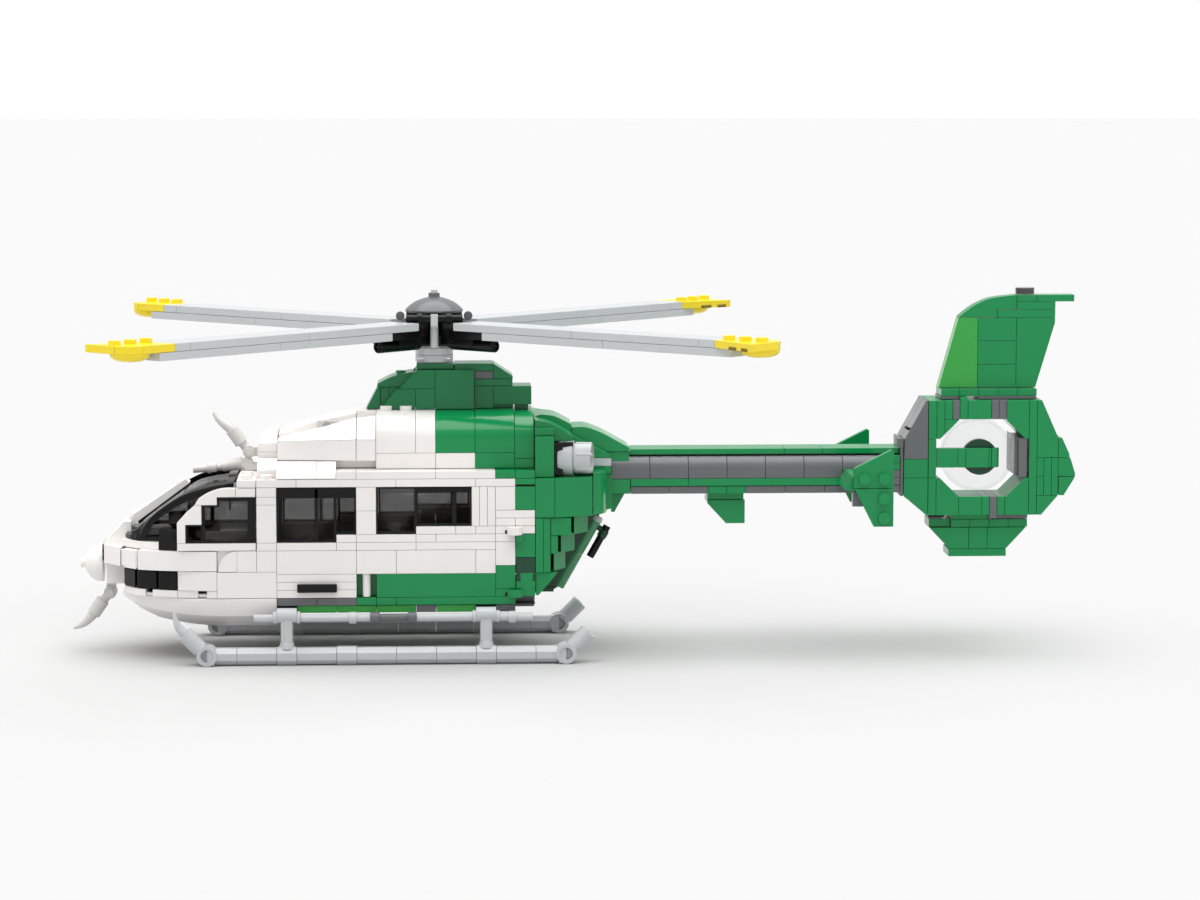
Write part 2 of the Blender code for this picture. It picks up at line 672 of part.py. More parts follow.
def make_rear_door(side):
    """Half of the clamshell, hinged on an upright axis at its front edge."""
    hinge = pivot(side_name("rear_door_hinge", side),
                  (DOOR_HINGE_X, DOOR_HINGE_Y * side, level(12)))
    shell = rear_solid(0.0, level(8) + SEAM, level(18) - SEAM)
    limits = side_box(DOOR_HINGE_X + SEAM, 150, POST_HALF + 2 * SEAM, HALF_WIDTH + 1,
                      level(8), level(18), side)
    door = carved(shell, "INTERSECT", [limits])
    hollow = rear_solid(6.0, 10, 62)
    notch = side_box(DOOR_HINGE_X - 5, 15 * STUD + SEAM, 10, 50, level(16) - SEAM, 80, side)
    leaf = [side_box(DOOR_HINGE_X + SEAM, DOOR_HINGE_X + 3, HALF_WIDTH - 1, HALF_WIDTH + 2.6,
                     low, high, side) for low, high in ((27.0, 29.2), (48.8, 51.6))]
    piece(side_name("rear_door", side), GREEN, [door, *leaf], [hollow, notch], hinge)


def make_rear_post():
    """Middle post between the rear doors, with its round bar and black catch."""
    post = outline([(122.0, level(8) + SEAM), (128.0, 34.0), (134.0, 42.0), (141.0, 56.0),
                    (142.5, level(18) - SEAM), (148.0, level(18) - SEAM), (148.0, 54.0),
                    (146.0, 51.0), (131.0, 24.8), (128.6, 24.0), (122.0, 24.0)],
                   "XZ", -POST_HALF, POST_HALF)
    bar = rod((146.6, 0, 53.6), (130.4, 0, 24.3), POST_HALF - 0.1, sides=12)
    catch = rod((150.6, 0, 50.0), (143.4, 0, 37.2), BAR_RADIUS, sides=12)
    collar = rod((145.2, 0, 49.2), (150.0, 0, 46.6), 2.0, sides=12)
    foot = box(118.6, 128.7, -POST_HALF, POST_HALF, level(7) + SEAM, level(8) + 0.4)
    piece("rear_post", DARK_GREEN, [post, bar, catch, collar, foot],
          [box(100, 15 * STUD + SEAM, -10, 10, 10, level(8))])


EXHAUST_Y = 24.0
EXHAUST_Z = 81.4


def make_rear_body():
    """Fixed green body behind the cabin, above the clamshell doors."""
    top = [(120.0 + SEAM, level(18) + SEAM), (120.0 + SEAM, 97.4)]
    top += [(123.1, 98.0), (128.9, 97.3), (135.8, 93.6), (136.1, 92.4), (148.0, 90.3),
            (156.0, 86.4), (159.4, 84.0), (159.4, 73.5), (151.6, 73.5)]
    top += [(157.0, 64.6), (153.2, 57.0), (150.4, level(18) + SEAM)]
    spine = outline(top, "XZ", -12, 12)
    lower = loft([[(x, y, z) for x, y in
                   [(120.0 + SEAM, -HALF_WIDTH), (128.0, -HALF_WIDTH), (136.0, -30.0),
                    (144.0, -26.0), (149.0, -18.0), (149.0, 18.0), (144.0, 26.0), (136.0, 30.0),
                    (128.0, HALF_WIDTH), (120.0 + SEAM, HALF_WIDTH)]]
                  for z in (level(18) + SEAM, level(23))])
    upper = loft([[(x, y, z) for x, y in
                   [(120.0 + SEAM, -half), (130.0, -half + 1), (140.0, -16.0), (151.0, -12.0),
                    (151.0, 12.0), (140.0, 16.0), (130.0, half - 1), (120.0 + SEAM, half)]]
                  for z, half in ((level(23) - 0.4, 33.0), (88.0, 30.0), (92.0, 22.0))])
    columns = [side_box(front, back, INNER, HALF_WIDTH, level(base) + SEAM, level(24) - SEAM, side)
               for front, back, base in ((14 * STUD + SEAM, 15 * STUD - SEAM, 16),
                                         (14 * STUD + 1, 15 * STUD + 1, 18))
               for side in (-1, 1)]
    exhaust_seats = [rod((131.0, EXHAUST_Y * side, EXHAUST_Z),
                         (160.0, EXHAUST_Y * side, EXHAUST_Z), 8.0) for side in (-1, 1)]
    boom_seat = box(BOOM_FRONT - 0.3, 170, -14, 14, 60, 90)
    front_slot = box(110, 15 * STUD + SEAM + 0.01, -INNER, INNER, 50, 100)
    piece("rear_body", GREEN, [spine, lower, upper, *columns],
          [*exhaust_seats, boom_seat, front_slot])


def make_exhaust(side):
    y = EXHAUST_Y * side
    profile = [(0, 1.4), (7.6, 1.4), (7.6, -1.4), (6.3, -1.4), (6.3, -11.4), (6.1, -12.0),
               (4.8, -12.0), (3.8, -0.6), (0, -0.6)]
    pipe = turned(profile, (133.0, y, EXHAUST_Z), (-1, 0, 0))
    piece(side_name("exhaust", side), LIGHT_GREY, [pipe])


# Boom and tail
BOOM_FRONT = 159.8
BOOM_BACK = 270.6


def make_boom():
    half = 12.0
    left = [(-half, 64.9), (-half, 71.2), (-half, 73.0), (-11.4, 76.5), (-9.6, 79.2), (-7.2, 80.4),
            (-8.0, 80.8), (-8.0, 83.8)]
    section = left + [(-y, z) for y, z in reversed(left)]
    tube = outline(section, "YZ", BOOM_FRONT, BOOM_BACK)
    block = outline([(191.5, 66), (191.5, 60.4), (199.3, 52.0), (207.1, 52.0), (207.1, 66)],
                    "XZ", -8, 8)
    piece("boom", GREEN, [tube, block])


STABILIZER_FACE = 43.2


def make_stabilizer(side):
    wing = outline([(244.4, 69.4), (247.8, 75.0), (262.6, 75.0), (262.6, 68.8), (247.8, 68.8)],
                   "XZ", *sorted((12.3 * side, 41.0 * side)))
    plate = side_outline([(248.0, 70.3), (248.0, 78.5), (263.0, 86.0), (264.1, 85.4), (264.1, 54.7),
                          (256.1, 54.7)], 40.0, STABILIZER_FACE, side)
    studs = [stud(x, STABILIZER_FACE * side, z, (0, side, 0))
             for x, z in ((252.1, 74.3), (260.2, 74.3), (260.2, 66.3), (260.2, 58.4))]
    piece(side_name("stabilizer", side), GREEN, [wing, plate, *studs])


RING_OUTLINE = [
    (281.6, 102.9), (272.9, 87.5), (271.2, 87.0), (271.2, 63.3), (272.6, 63.3), (281.4, 55.3),
    (328.7, 55.3), (336.0, 63.2), (338.4, 63.2), (TAIL_X, 72.0), (338.4, 87.1), (335.9, 87.1),
    (328.1, 102.9)]
RING_OPENING = [
    (294.6, 94.9), (313.5, 94.9), (322.3, 86.9), (322.3, 71.1), (313.9, 63.2), (294.6, 63.2),
    (285.3, 71.2), (285.3, 86.9)]


def make_tail_ring():
    ring = outline(RING_OUTLINE, "XZ", -RING_HALF_WIDTH, RING_HALF_WIDTH)
    hole = outline(RING_OPENING, "XZ", -30, 30)
    strip = box(282.6, 323.9, -8, 8, 49.8, 55.6)
    wedge = outline([(283.2, 50.0), (291.3, 41.0), (315.3, 41.0), (323.7, 50.0)], "XZ", -8, 8)
    foot = box(290.9, 315.4, -8, 8, 37.9, 41.4)
    saddle = box(287.0, 327.0, -8, 8, 102.5, 104.2)
    piece("tail_ring", GREEN, [ring, strip, wedge, foot, saddle], [hole])


def make_tail_arm():
    """Fixed arm across the shroud that carries the tail rotor's pin."""
    arm = box(285.3 + 2 * SEAM, 312.5, -RING_HALF_WIDTH, -RING_HALF_WIDTH + 3.2, 75.0, 83.3)
    piece("tail_arm", GREEN, [arm])


def make_tail_rotor():
    axis = pivot("tail_rotor_axis", (TAIL_HUB_X, 0, TAIL_HUB_Z), (0, 1, 0))
    front = -RING_HALF_WIDTH + 3.2 + 2 * SEAM
    profile = [(0, 0), (7.6, 0), (7.6, -5.6), (12.0, -6.4), (DISC_RADIUS, -8.4),
               (DISC_RADIUS, -9.8), (12.0, -8.6), (7.0, -7.8), (4.0, -8.2), (0, -8.2)]
    disc = turned(profile, (TAIL_HUB_X, front, TAIL_HUB_Z), (0, -1, 0), 32)
    piece("tail_rotor", CLEAR, [disc], (), axis)


def make_fin():
    side = [(287.5, 104.5), (287.5, 107.6), (295.4, 136.4)]
    side += [(298.6, 139.6), (302.4, 142.2), (306.8, 144.1), (313.0, 145.4), (319.1, 145.7)]
    side += [(343.2, 145.7), (343.2, 142.8), (335.2, 142.4), (335.2, 134.5), (327.3, 107.6),
             (327.3, 104.5)]
    blade = outline(side, "XZ", -4, 4)
    base = box(287.2, 326.9, -8, 8, 104.5, 107.6)
    piece("fin", GREEN, [blade, base])
    fin_top = 145.7
    beacon = rod((323.2, 0, fin_top + SEAM), (323.2, 0, fin_top + 2.9), 3.9)
    piece("beacon", DARK_GREY, [beacon])


# Main rotor
def placed(shape, matrix):
    bm = bmesh.new()
    bm.from_mesh(shape.data)
    bmesh.ops.transform(bm, matrix=matrix, verts=bm.verts)
    bm.to_mesh(shape.data)
    bm.free()
    return shape


def blade_matrix(index):
    """The turn about the hub that brings a shape along +X to one of the blades."""
    centre = at(HUB_X, 0, BLADE_SEAM_Z)
    turn = Matrix.Rotation(FIRST_BLADE + index * math.pi / 2, 4, "Z")
    return Matrix.Translation(centre) @ turn @ Matrix.Translation(-centre)


def radial_box(start, end, half, low, high):
    return box(HUB_X + start, HUB_X + end, -half, half, BLADE_SEAM_Z + low, BLADE_SEAM_Z + high)


def make_tip():
    """The wedge plate that ends a blade: one corner round, the other drawn out to a hook."""
    half, dish_x = BLADE_HALF_WIDTH, HUB_X + TIP_END - STUD
    plan = [(HUB_X + TIP_START + SEAM, half), *arc((dish_x, 0), half, half, 90, 0, 5),
            (dish_x + half, -TIP_HOOK), (HUB_X + TIP_START + SEAM, -half)]
    plate = outline(plan, "XY", BLADE_SEAM_Z + SEAM, BLADE_SEAM_Z + PLATE)
    dish = turned([(0, 0.4), (7.6, 0.4), (7.6, -1.0), (5.0, -2.8), (0, -3.2)],
                  (dish_x, 0, BLADE_SEAM_Z), (0, 0, 1), 20)
    studs = [stud(HUB_X + TIP_START + STUD * (i + 0.5), -STUD / 2, BLADE_SEAM_Z + PLATE)
             for i in range(3)]
    return joined([plate, dish, *studs])


def make_blade(index, axis):
    matrix = blade_matrix(index)
    upper = radial_box(BLADE_ROOT, TIP_START - SEAM, BLADE_HALF_WIDTH, SEAM, PLATE)
    lower = radial_box(BLADE_LOWER_ROOT, TIP_START - SEAM, BLADE_HALF_WIDTH, -PLATE, 2 * SEAM)
    end = radial_box(TIP_START - 1.0, TIP_START + STUD - SEAM, BLADE_HALF_WIDTH, -PLATE, -SEAM)
    piece(f"blade_{index + 1}", LIGHT_GREY, [placed(joined([upper, lower, end]), matrix)], (), axis)
    piece(f"blade_tip_{index + 1}", YELLOW, [placed(make_tip(), matrix)], (), axis)


def make_rotor():
    axis = pivot("rotor_axis", (HUB_X, 0, BLADE_SEAM_Z))
    mast = rod((HUB_X, 0, 118.6 + 2 * SEAM), (HUB_X, 0, 124.8), 7.9)
    piece("mast", LIGHT_GREY, [mast])
    core = rod((HUB_X, 0, 125.4), (HUB_X, 0, 138.9), 7.6)
    ring = rod((HUB_X, 0, 135.5), (HUB_X, 0, 138.8), 12.8)
    arms = []
    for i in range(4):
        matrix = blade_matrix(i)
        tube = rod((HUB_X + 8.1, 0, 126.7), (HUB_X + 33.5, 0, 126.7), 2.6, sides=12)
        arms.append(placed(radial_box(4.0, BLADE_LOWER_ROOT - 2 * SEAM, 7.4, -PLATE, -SEAM), matrix))
        arms.append(placed(radial_box(5.0, 24.0, 4.0, -6.4, -3.0), matrix))
        arms.append(placed(tube, matrix))
    piece("rotor_hub", BLACK, [core, ring, *arms], (), axis)
    dome = [(0, 9.1), (1.6, 9.1), (1.6, 7.6), (2.9, 7.6), (2.9, 6.0), (4.2, 5.7), (7.4, 4.4),
            (10.2, 2.5), (11.8, 0.6), (11.9, 0), (0, 0)]
    cap = turned(dome, (HUB_X, 0, 139.2), (0, 0, 1))
    piece("rotor_cap", DARK_GREY, [cap], (), axis)
    for index in range(4):
        make_blade(index, axis)


# Skids
def skid_tube(start, end, y, z=SKID_Z, radius=SKID_RADIUS):
    """An eight-sided tube along X, flat side down."""
    bm = bmesh.new()
    matrix = Matrix.LocRotScale(at((start + end) / 2, y, z), towards((1, 0, 0)), None)
    matrix = matrix @ Matrix.Rotation(math.radians(22.5), 4, "Z")
    bmesh.ops.create_cone(bm, cap_ends=True, segments=8, radius1=radius * MM / math.cos(math.pi / 8),
                          radius2=radius * MM / math.cos(math.pi / 8),
                          depth=(end - start) * MM, matrix=matrix)
    return shape_from_bmesh(bm)


def make_skid(side):
    y = SKID_Y * side
    tube = skid_tube(SKID_FRONT + 3.2, SKID_REAR - 3.2, y)
    rings, holes, arms = [], [], []
    for x, way in ((SKID_FRONT, -1), (SKID_REAR, 1)):
        rings.append(rod((x, y - 4.05, 4.2), (x, y + 4.05, 4.2), 4.2))
        holes.append(rod((x, y - 9.0, 4.25), (x, y + 9.0, 4.25), 2.35, sides=14))
        arms.append(rod((x + way * 2.5, y, 6.2), (x + way * 9.2, y, 12.9), 3.55, sides=16))
    horn = bent_tube([(-20.6, y, 12.4), (-23.4, y, 15.4), (-24.6, y, 18.4), (-24.9, y, 21.4)],
                     2.0, (1.0, 0.9, 0.65, 0.35))
    piece(side_name("skid", side), LIGHT_GREY, [tube, *rings, *arms, horn], holes)


def make_skid_frame(side):
    """Struts, tee heads and the step rod above one skid."""
    y = SKID_Y * side
    step = rod((6.7, y, STEP_ROD_Z), (118.8, y, STEP_ROD_Z), BAR_RADIUS, sides=12)
    shapes = []
    for x in STRUT_STATIONS:
        shapes.append(rod((x - 4, y, 20.0), (x + 4, y, 20.0), 3.1, sides=16))
        shapes.append(rod((x, y, 7.8), (x, y, 20.0), 3.0, sides=16))
        shapes.append(side_box(x - 3.0, x + 3.0, 36.0, 39.0, 17.6, 22.6, side))
    collars = [rod((x - 2, y, STEP_ROD_Z), (x + 2, y, STEP_ROD_Z), 2.5, sides=12)
               for x in (45.6, 56.0, 69.6, 109.6)]
    piece(side_name("skid_frame", side), LIGHT_GREY, [step, *shapes, *collars])


# Wire cutters and probe
def make_cutters():
    joint = rod((3.8, -3.2, 82.2), (3.8, 3.2, 82.2), 2.5, sides=16)
    link = box(3.8, 7.7, -2.5, 2.5, 80.2, 84.2)
    arm = rod((3.0, 0, 83.2), (-3.4, 0, 91.0), 2.8, sides=12)
    horn = bent_tube([(-3.2, 0, 90.8), (-7.0, 0, 93.6), (-9.6, 0, 96.0), (-10.9, 0, 98.3)],
                     2.2, (1.0, 0.8, 0.6, 0.3))
    piece("upper_cutter", WHITE, [joint, link, arm, horn])
    joint = rod((-53.6, -3.2, 24.4), (-53.6, 3.2, 24.4), 2.6, sides=16)
    link = box(-55.4, -51.2, -2.5, 2.5, 25.0, 28.3)
    arm = rod((-54.4, 0, 23.2), (-61.0, 0, 14.8), 2.8, sides=12)
    horn = bent_tube([(-60.6, 0, 15.4), (-63.4, 0, 12.2), (-66.6, 0, 10.2), (-69.2, 0, 9.3)],
                     2.2, (1.0, 0.85, 0.6, 0.3))
    piece("lower_cutter", WHITE, [joint, link, arm, horn])


def make_probe():
    """The probe above the windscreen, on its clip plate."""
    z = 75.9
    shapes = [rod((-19.4, 0, z - 1.2), (-13.0, 0, z - 0.7), BAR_RADIUS, sides=12),
              rod((-13.4, 0, z - 0.7), (-9.6, 0, z - 0.4), 2.3, sides=12),
              rod((-9.8, 0, z - 0.4), (1.6, 0, z + 1.6), 1.7, 2.7, sides=16),
              rod((2.9, -3.0, z + 1.4), (2.9, 3.0, z + 1.4), 2.4, sides=16),
              box(2.0, 7.5, -3.0, 3.0, level(23) + SEAM, level(24))]
    piece("probe", WHITE, shapes)


# Build order
make_nose_dome()
make_front_shell()
make_nose_band()
make_belly_hull()
make_landing_lamp()
make_windscreen()
for SIDE in (-1, 1):
    make_cockpit_door(SIDE)
    make_mid_door(SIDE)
    make_side_wall(SIDE)
    make_lower_wall(SIDE)
    make_rear_door(SIDE)
    make_exhaust(SIDE)
    make_stabilizer(SIDE)
    make_skid(SIDE)
    make_skid_frame(SIDE)
make_floor()
make_cockpit_interior()
make_roof()
make_cowls()
make_pylon()
make_rear_post()
make_rear_body()
make_boom()
make_tail_ring()
make_tail_arm()
make_tail_rotor()
make_fin()
make_rotor()
make_cutters()
make_probe()
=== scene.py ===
"""Looks of a brick-built toy helicopter: moulded parts, seams, studs, windows and a pale studio.

Sizes are in millimetres of the toy's own brick grid and are turned to metres where a mesh is made.
X runs from the first joint of the skid tube towards the tail, Y is the distance from the middle
plane (a part's sides say where it is laid), and Z is the height above the ground.
"""
import logging
import math
from dataclasses import dataclass, field, replace
from enum import Enum
from functools import lru_cache
from typing import Iterable, Optional, Sequence, Union

import bmesh
import bpy
from mathutils import Matrix, Vector


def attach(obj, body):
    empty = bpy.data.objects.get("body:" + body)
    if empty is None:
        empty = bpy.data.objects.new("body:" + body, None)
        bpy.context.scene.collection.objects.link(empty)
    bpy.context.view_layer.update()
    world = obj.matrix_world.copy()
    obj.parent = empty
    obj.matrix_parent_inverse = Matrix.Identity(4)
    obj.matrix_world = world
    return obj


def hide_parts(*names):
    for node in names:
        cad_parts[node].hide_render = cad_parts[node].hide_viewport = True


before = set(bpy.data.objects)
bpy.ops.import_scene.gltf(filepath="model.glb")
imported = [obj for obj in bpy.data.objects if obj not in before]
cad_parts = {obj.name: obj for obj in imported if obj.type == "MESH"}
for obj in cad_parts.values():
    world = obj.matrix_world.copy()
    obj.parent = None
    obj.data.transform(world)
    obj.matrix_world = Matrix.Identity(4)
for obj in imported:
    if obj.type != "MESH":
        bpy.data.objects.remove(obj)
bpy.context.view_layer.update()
LOG = logging.getLogger("helicopter")

Point = tuple[float, float, float]
Flat = tuple[float, float]
Table = Iterable[tuple]

# Brick grid
MM = 0.001
STUD = 8.0
PLATE = 3.2
LEVEL_ZERO = 0.8
CENTRE_X = 137.05
STUD_RADIUS = 2.4
STUD_HEIGHT = 1.7
BAR = 1.6
GAP = 0.06
HALF_WIDTH = 36.0
INNER = 28.0
SEAM = 0.15
ROUND = 28
EDGE_ANGLE = 28.0
EDGE_STEPS = 2
STUD_SUNK = 0.5

# Main rotor
HUB_X = 79.8
BLADE_SEAM_Z = 132.6
FIRST_BLADE = math.radians(47.2)

BOTH = (-1, 1)
MIDDLE = (1,)


def level(plates: float) -> float:
    """Height of the top of a number of plates, in millimetres."""
    return LEVEL_ZERO + PLATE * plates


SILL, EAVES = level(8), level(22)


def at(x: float, y: float, z: float) -> Vector:
    """A point given in millimetres by station, side and height, in metres."""
    return Vector(((x - CENTRE_X) * MM, y * MM, z * MM))


class Wire:
    """A node's output that can be used in sums."""

    def __init__(self, graph: "Graph", socket: bpy.types.NodeSocket) -> None:
        """Keep the tree and the socket."""
        self.graph = graph
        self.socket = socket

    def _math(self, operation: str, first: "Value", second: "Value") -> "Wire":
        """A Math node on two values."""
        return self.graph.node("ShaderNodeMath", {"operation": operation}, {0: first, 1: second})

    def __add__(self, other: "Value") -> "Wire":
        """The sum."""
        return self._math("ADD", self, other)

    def __sub__(self, other: "Value") -> "Wire":
        """The difference."""
        return self._math("SUBTRACT", self, other)

    def __mul__(self, other: "Value") -> "Wire":
        """The product."""
        return self._math("MULTIPLY", self, other)

    __radd__ = __add__
    __rmul__ = __mul__


Value = Union[Wire, float, int, tuple, str]


class Graph:
    """A node tree whose nodes all come from one method."""

    def __init__(self, tree: bpy.types.NodeTree) -> None:
        """Empty a tree and keep it."""
        self.tree = tree
        tree.nodes.clear()

    def node(self, kind: str, settings: Optional[dict] = None, inputs: Optional[dict] = None,
             output: Union[int, str] = 0) -> Wire:
        """Make a node.

        Args:
            kind: The node's type.
            settings: Its own settings, set before its sockets.
            inputs: A value or a wire for each socket, by name or number.
            output: The output that is handed back.

        Returns:
            The chosen output.
        """
        made = self.tree.nodes.new(kind)
        for name, setting in (settings or {}).items():
            setattr(made, name, setting)
        for key, value in (inputs or {}).items():
            if isinstance(value, Wire):
                self.tree.links.new(value.socket, made.inputs[key])
            else:
                made.inputs[key].default_value = value
        return Wire(self, made.outputs[output]) if len(made.outputs) else Wire(self, None)

    def noise(self, place: Wire, scale: float, detail: float = 2.0) -> Wire:
        """Noise from 0 to 1 with a given number of cells in a metre."""
        return self.node("ShaderNodeTexNoise", None, {"Vector": place, "Scale": scale, "Detail": detail})

    def blend(self, share: Value, first: tuple, second: tuple) -> Wire:
        """A colour between two colours."""
        return self.node("ShaderNodeMix", {"data_type": "RGBA"}, {0: share, 6: first, 7: second}, 2)


@dataclass(frozen=True)
class Plastic:
    """A moulded plastic with a polished, faintly wavy skin.

    The colour drifts a little where the melt flowed, the gloss varies, and the skin has a fine
    grain and slow sink marks that bend reflections.
    """

    name: str
    colour: tuple[float, float, float]
    roughness: float = 0.19
    drift: float = 0.035
    grain: float = 0.10
    sink: float = 0.55
    alpha: float = 1.0
    gleam: float = 0.36
    slot: str = ""

    def shade(self, share: float) -> tuple[float, float, float, float]:
        """The colour, lighter or darker by a share."""
        return (*(min(1.0, part * (1.0 + share)) for part in self.colour), 1.0)

    @lru_cache(maxsize=None)
    def material(self) -> bpy.types.Material:
        """Build the finish once.

        Returns:
            The material, shared by all pieces of this plastic.
        """
        made = bpy.data.materials.new(self.name)
        made.use_nodes = True
        graph = Graph(made.node_tree)
        place = graph.node("ShaderNodeTexCoord", output="Object")
        flow = graph.noise(place, 70.0, 3.0)
        skin = graph.noise(place, 1500.0, 2.0)
        slow = graph.noise(place, 95.0, 1.0)
        height = skin * (self.grain * 0.02) + slow * self.sink
        bump = graph.node("ShaderNodeBump", None, {"Strength": 0.6, "Distance": 0.00035,
                                                   "Height": height}, "Normal")
        gloss = self.roughness + (flow - 0.5) * 0.10 + (skin - 0.5) * 0.05
        shader = graph.node("ShaderNodeBsdfPrincipled", None, {
            "Base Color": graph.blend(flow, self.shade(-self.drift), self.shade(self.drift)),
            "Roughness": gloss, "Normal": bump, "Specular IOR Level": self.gleam,
            "Alpha": self.alpha})
        graph.node("ShaderNodeOutputMaterial", None, {"Surface": shader})
        made.diffuse_color = (*self.colour, self.alpha)
        return made


class Colour(Enum):
    """The plastics of the toy."""

    WHITE = Plastic("white_plastic", (0.86, 0.83, 0.805), roughness=0.24, slot="white")
    # White darkened to paint shade on small parts: the cowl pin blocks, the cutters and the probe.
    PAINTED_SHADE_WHITE = Plastic("painted_shade_white_plastic", (0.62, 0.60, 0.58), roughness=0.24, slot="white")
    # Green lightened to paint the sheen of the sky on the rear post's round bar.
    PAINTED_SHEEN_GREEN = Plastic("painted_sheen_green_plastic", (0.08, 0.29, 0.14), slot="green")
    GREEN = Plastic("green_plastic", (0.002, 0.245, 0.068), slot="green")
    PYLON_GREEN = Plastic("pylon_green_plastic", (0.002, 0.16, 0.05), slot="green")
    LIME = Plastic("bright_green_plastic", (0.035, 0.35, 0.055), slot="green")
    DARK_GREEN = Plastic("dark_green_plastic", (0.004, 0.055, 0.025), slot="dark_green")
    LIGHT_GREY = Plastic("light_grey_plastic", (0.53, 0.55, 0.565), roughness=0.22, slot="light_grey")
    DARK_GREY = Plastic("dark_grey_plastic", (0.125, 0.132, 0.139), roughness=0.22, slot="dark_grey")
    YELLOW = Plastic("yellow_plastic", (0.88, 0.68, 0.02), slot="yellow")
    BLACK = Plastic("black_plastic", (0.004, 0.004, 0.004), roughness=0.22, gleam=0.22, slot="black")
    # Dark yellow that paints the shade inside the tip notches.
    NOTCH_PAINTED_SHADE = Plastic("notch_painted_shade_plastic", (0.22, 0.14, 0.0), slot="yellow")
    SMOKE = Plastic("smoke_plastic", (0.006, 0.005, 0.004), roughness=0.06, sink=0.1, alpha=0.46,
                    gleam=0.4, slot="smoke")
    CLEAR = Plastic("clear_plastic", (0.80, 0.84, 0.85), roughness=0.06, sink=0.2, alpha=0.09,
                    gleam=0.5, slot="clear")
    BEACON = Plastic("beacon_plastic", (0.035, 0.03, 0.028), roughness=0.08, alpha=0.8, slot="dark_grey")


@dataclass(frozen=True)
class FloorFinish:
    """A matt pale paper sheet with a faint fibre."""

    tone: float = 0.49
    fibre: float = 0.01

    def material(self) -> bpy.types.Material:
        """Build the finish.

        Returns:
            The material of the floor.
        """
        made = bpy.data.materials.new("paper_floor")
        made.use_nodes = True
        graph = Graph(made.node_tree)
        place = graph.node("ShaderNodeTexCoord", output="Object")
        fibre = graph.noise(place, 900.0, 4.0)
        low, high = self.tone * (1 - self.fibre), self.tone * (1 + self.fibre)
        colour = graph.blend(fibre, (low, low, low, 1.0), (high, high, high, 1.0))
        shader = graph.node("ShaderNodeBsdfPrincipled", None, {
            "Base Color": colour, "Roughness": 0.9, "Specular IOR Level": 0.0})
        graph.node("ShaderNodeOutputMaterial", None, {"Surface": shader})
        return made


class Growth:
    """A Geometry Nodes tree with named inputs, run on a mesh and turned into a plain mesh."""

    def __init__(self, name: str, sockets: dict[str, str]) -> None:
        """Make the tree.

        Args:
            name: The tree's name.
            sockets: The type of each named input, after the geometry.
        """
        self.group = bpy.data.node_groups.new(name, "GeometryNodeTree")
        face = self.group.interface
        face.new_socket("Geometry", in_out="INPUT", socket_type="NodeSocketGeometry")
        self.keys = {key: face.new_socket(key, in_out="INPUT", socket_type=kind).identifier
                     for key, kind in sockets.items()}
        face.new_socket("Geometry", in_out="OUTPUT", socket_type="NodeSocketGeometry")
        self.graph = Graph(self.group)
        self.source = self.group.nodes.new("NodeGroupInput")

    def input(self, name: str) -> Wire:
        """One of the tree's inputs."""
        return Wire(self.graph, self.source.outputs[name])

    def close(self, geometry: Wire) -> None:
        """End the tree in real geometry with its material."""
        solid = self.graph.node("GeometryNodeRealizeInstances", None, {0: geometry})
        dressed = self.graph.node("GeometryNodeSetMaterial", None,
                                  {0: solid, "Material": self.input("Material")})
        self.graph.node("NodeGroupOutput", None, {0: dressed})

    def grow(self, mesh: bpy.types.Mesh, values: dict) -> bpy.types.Mesh:
        """Run the tree on a mesh.

        Args:
            mesh: The mesh that it starts from.
            values: A value for each named input.

        Returns:
            A plain mesh.
        """
        holder = bpy.data.objects.new("growth", mesh)
        bpy.context.scene.collection.objects.link(holder)
        step = holder.modifiers.new("growth", "NODES")
        step.node_group = self.group
        for name, value in values.items():
            step[self.keys[name]] = value
        depsgraph = bpy.context.evaluated_depsgraph_get()
        depsgraph.update()
        result = bpy.data.meshes.new_from_object(holder.evaluated_get(depsgraph))
        bpy.data.objects.remove(holder, do_unlink=True)
        return result


@lru_cache(maxsize=None)
def stud_field() -> Growth:
    """A tree that sets a coupling stud on each point."""
    tree = Growth("stud_field", {"Radius": "NodeSocketFloat", "Height": "NodeSocketFloat",
                                 "Sunk": "NodeSocketFloat", "Turn": "NodeSocketVector",
                                 "Material": "NodeSocketMaterial"})
    graph = tree.graph
    depth = tree.input("Height") + tree.input("Sunk")
    stud = graph.node("GeometryNodeMeshCylinder", None, {
        "Vertices": 20, "Radius": tree.input("Radius"), "Depth": depth})
    lift = graph.node("ShaderNodeCombineXYZ", None,
                      {2: (tree.input("Height") - tree.input("Sunk")) * 0.5})
    raised = graph.node("GeometryNodeTransform", None, {0: stud, "Translation": lift})
    turn = graph.node("FunctionNodeEulerToRotation", None, {0: tree.input("Turn")})
    tree.close(graph.node("GeometryNodeInstanceOnPoints", None, {
        "Points": tree.input("Geometry"), "Instance": raised, "Rotation": turn}))
    return tree


@lru_cache(maxsize=None)
def part_row() -> Growth:
    """A tree that repeats a part along a straight line."""
    tree = Growth("part_row", {"Count": "NodeSocketInt", "Step": "NodeSocketVector",
                               "Material": "NodeSocketMaterial"})
    line = tree.graph.node("GeometryNodeMeshLine", {"mode": "OFFSET"}, {
        "Count": tree.input("Count"), "Offset": tree.input("Step")})
    tree.close(tree.graph.node("GeometryNodeInstanceOnPoints", None, {
        "Points": line, "Instance": tree.input("Geometry")}))
    return tree


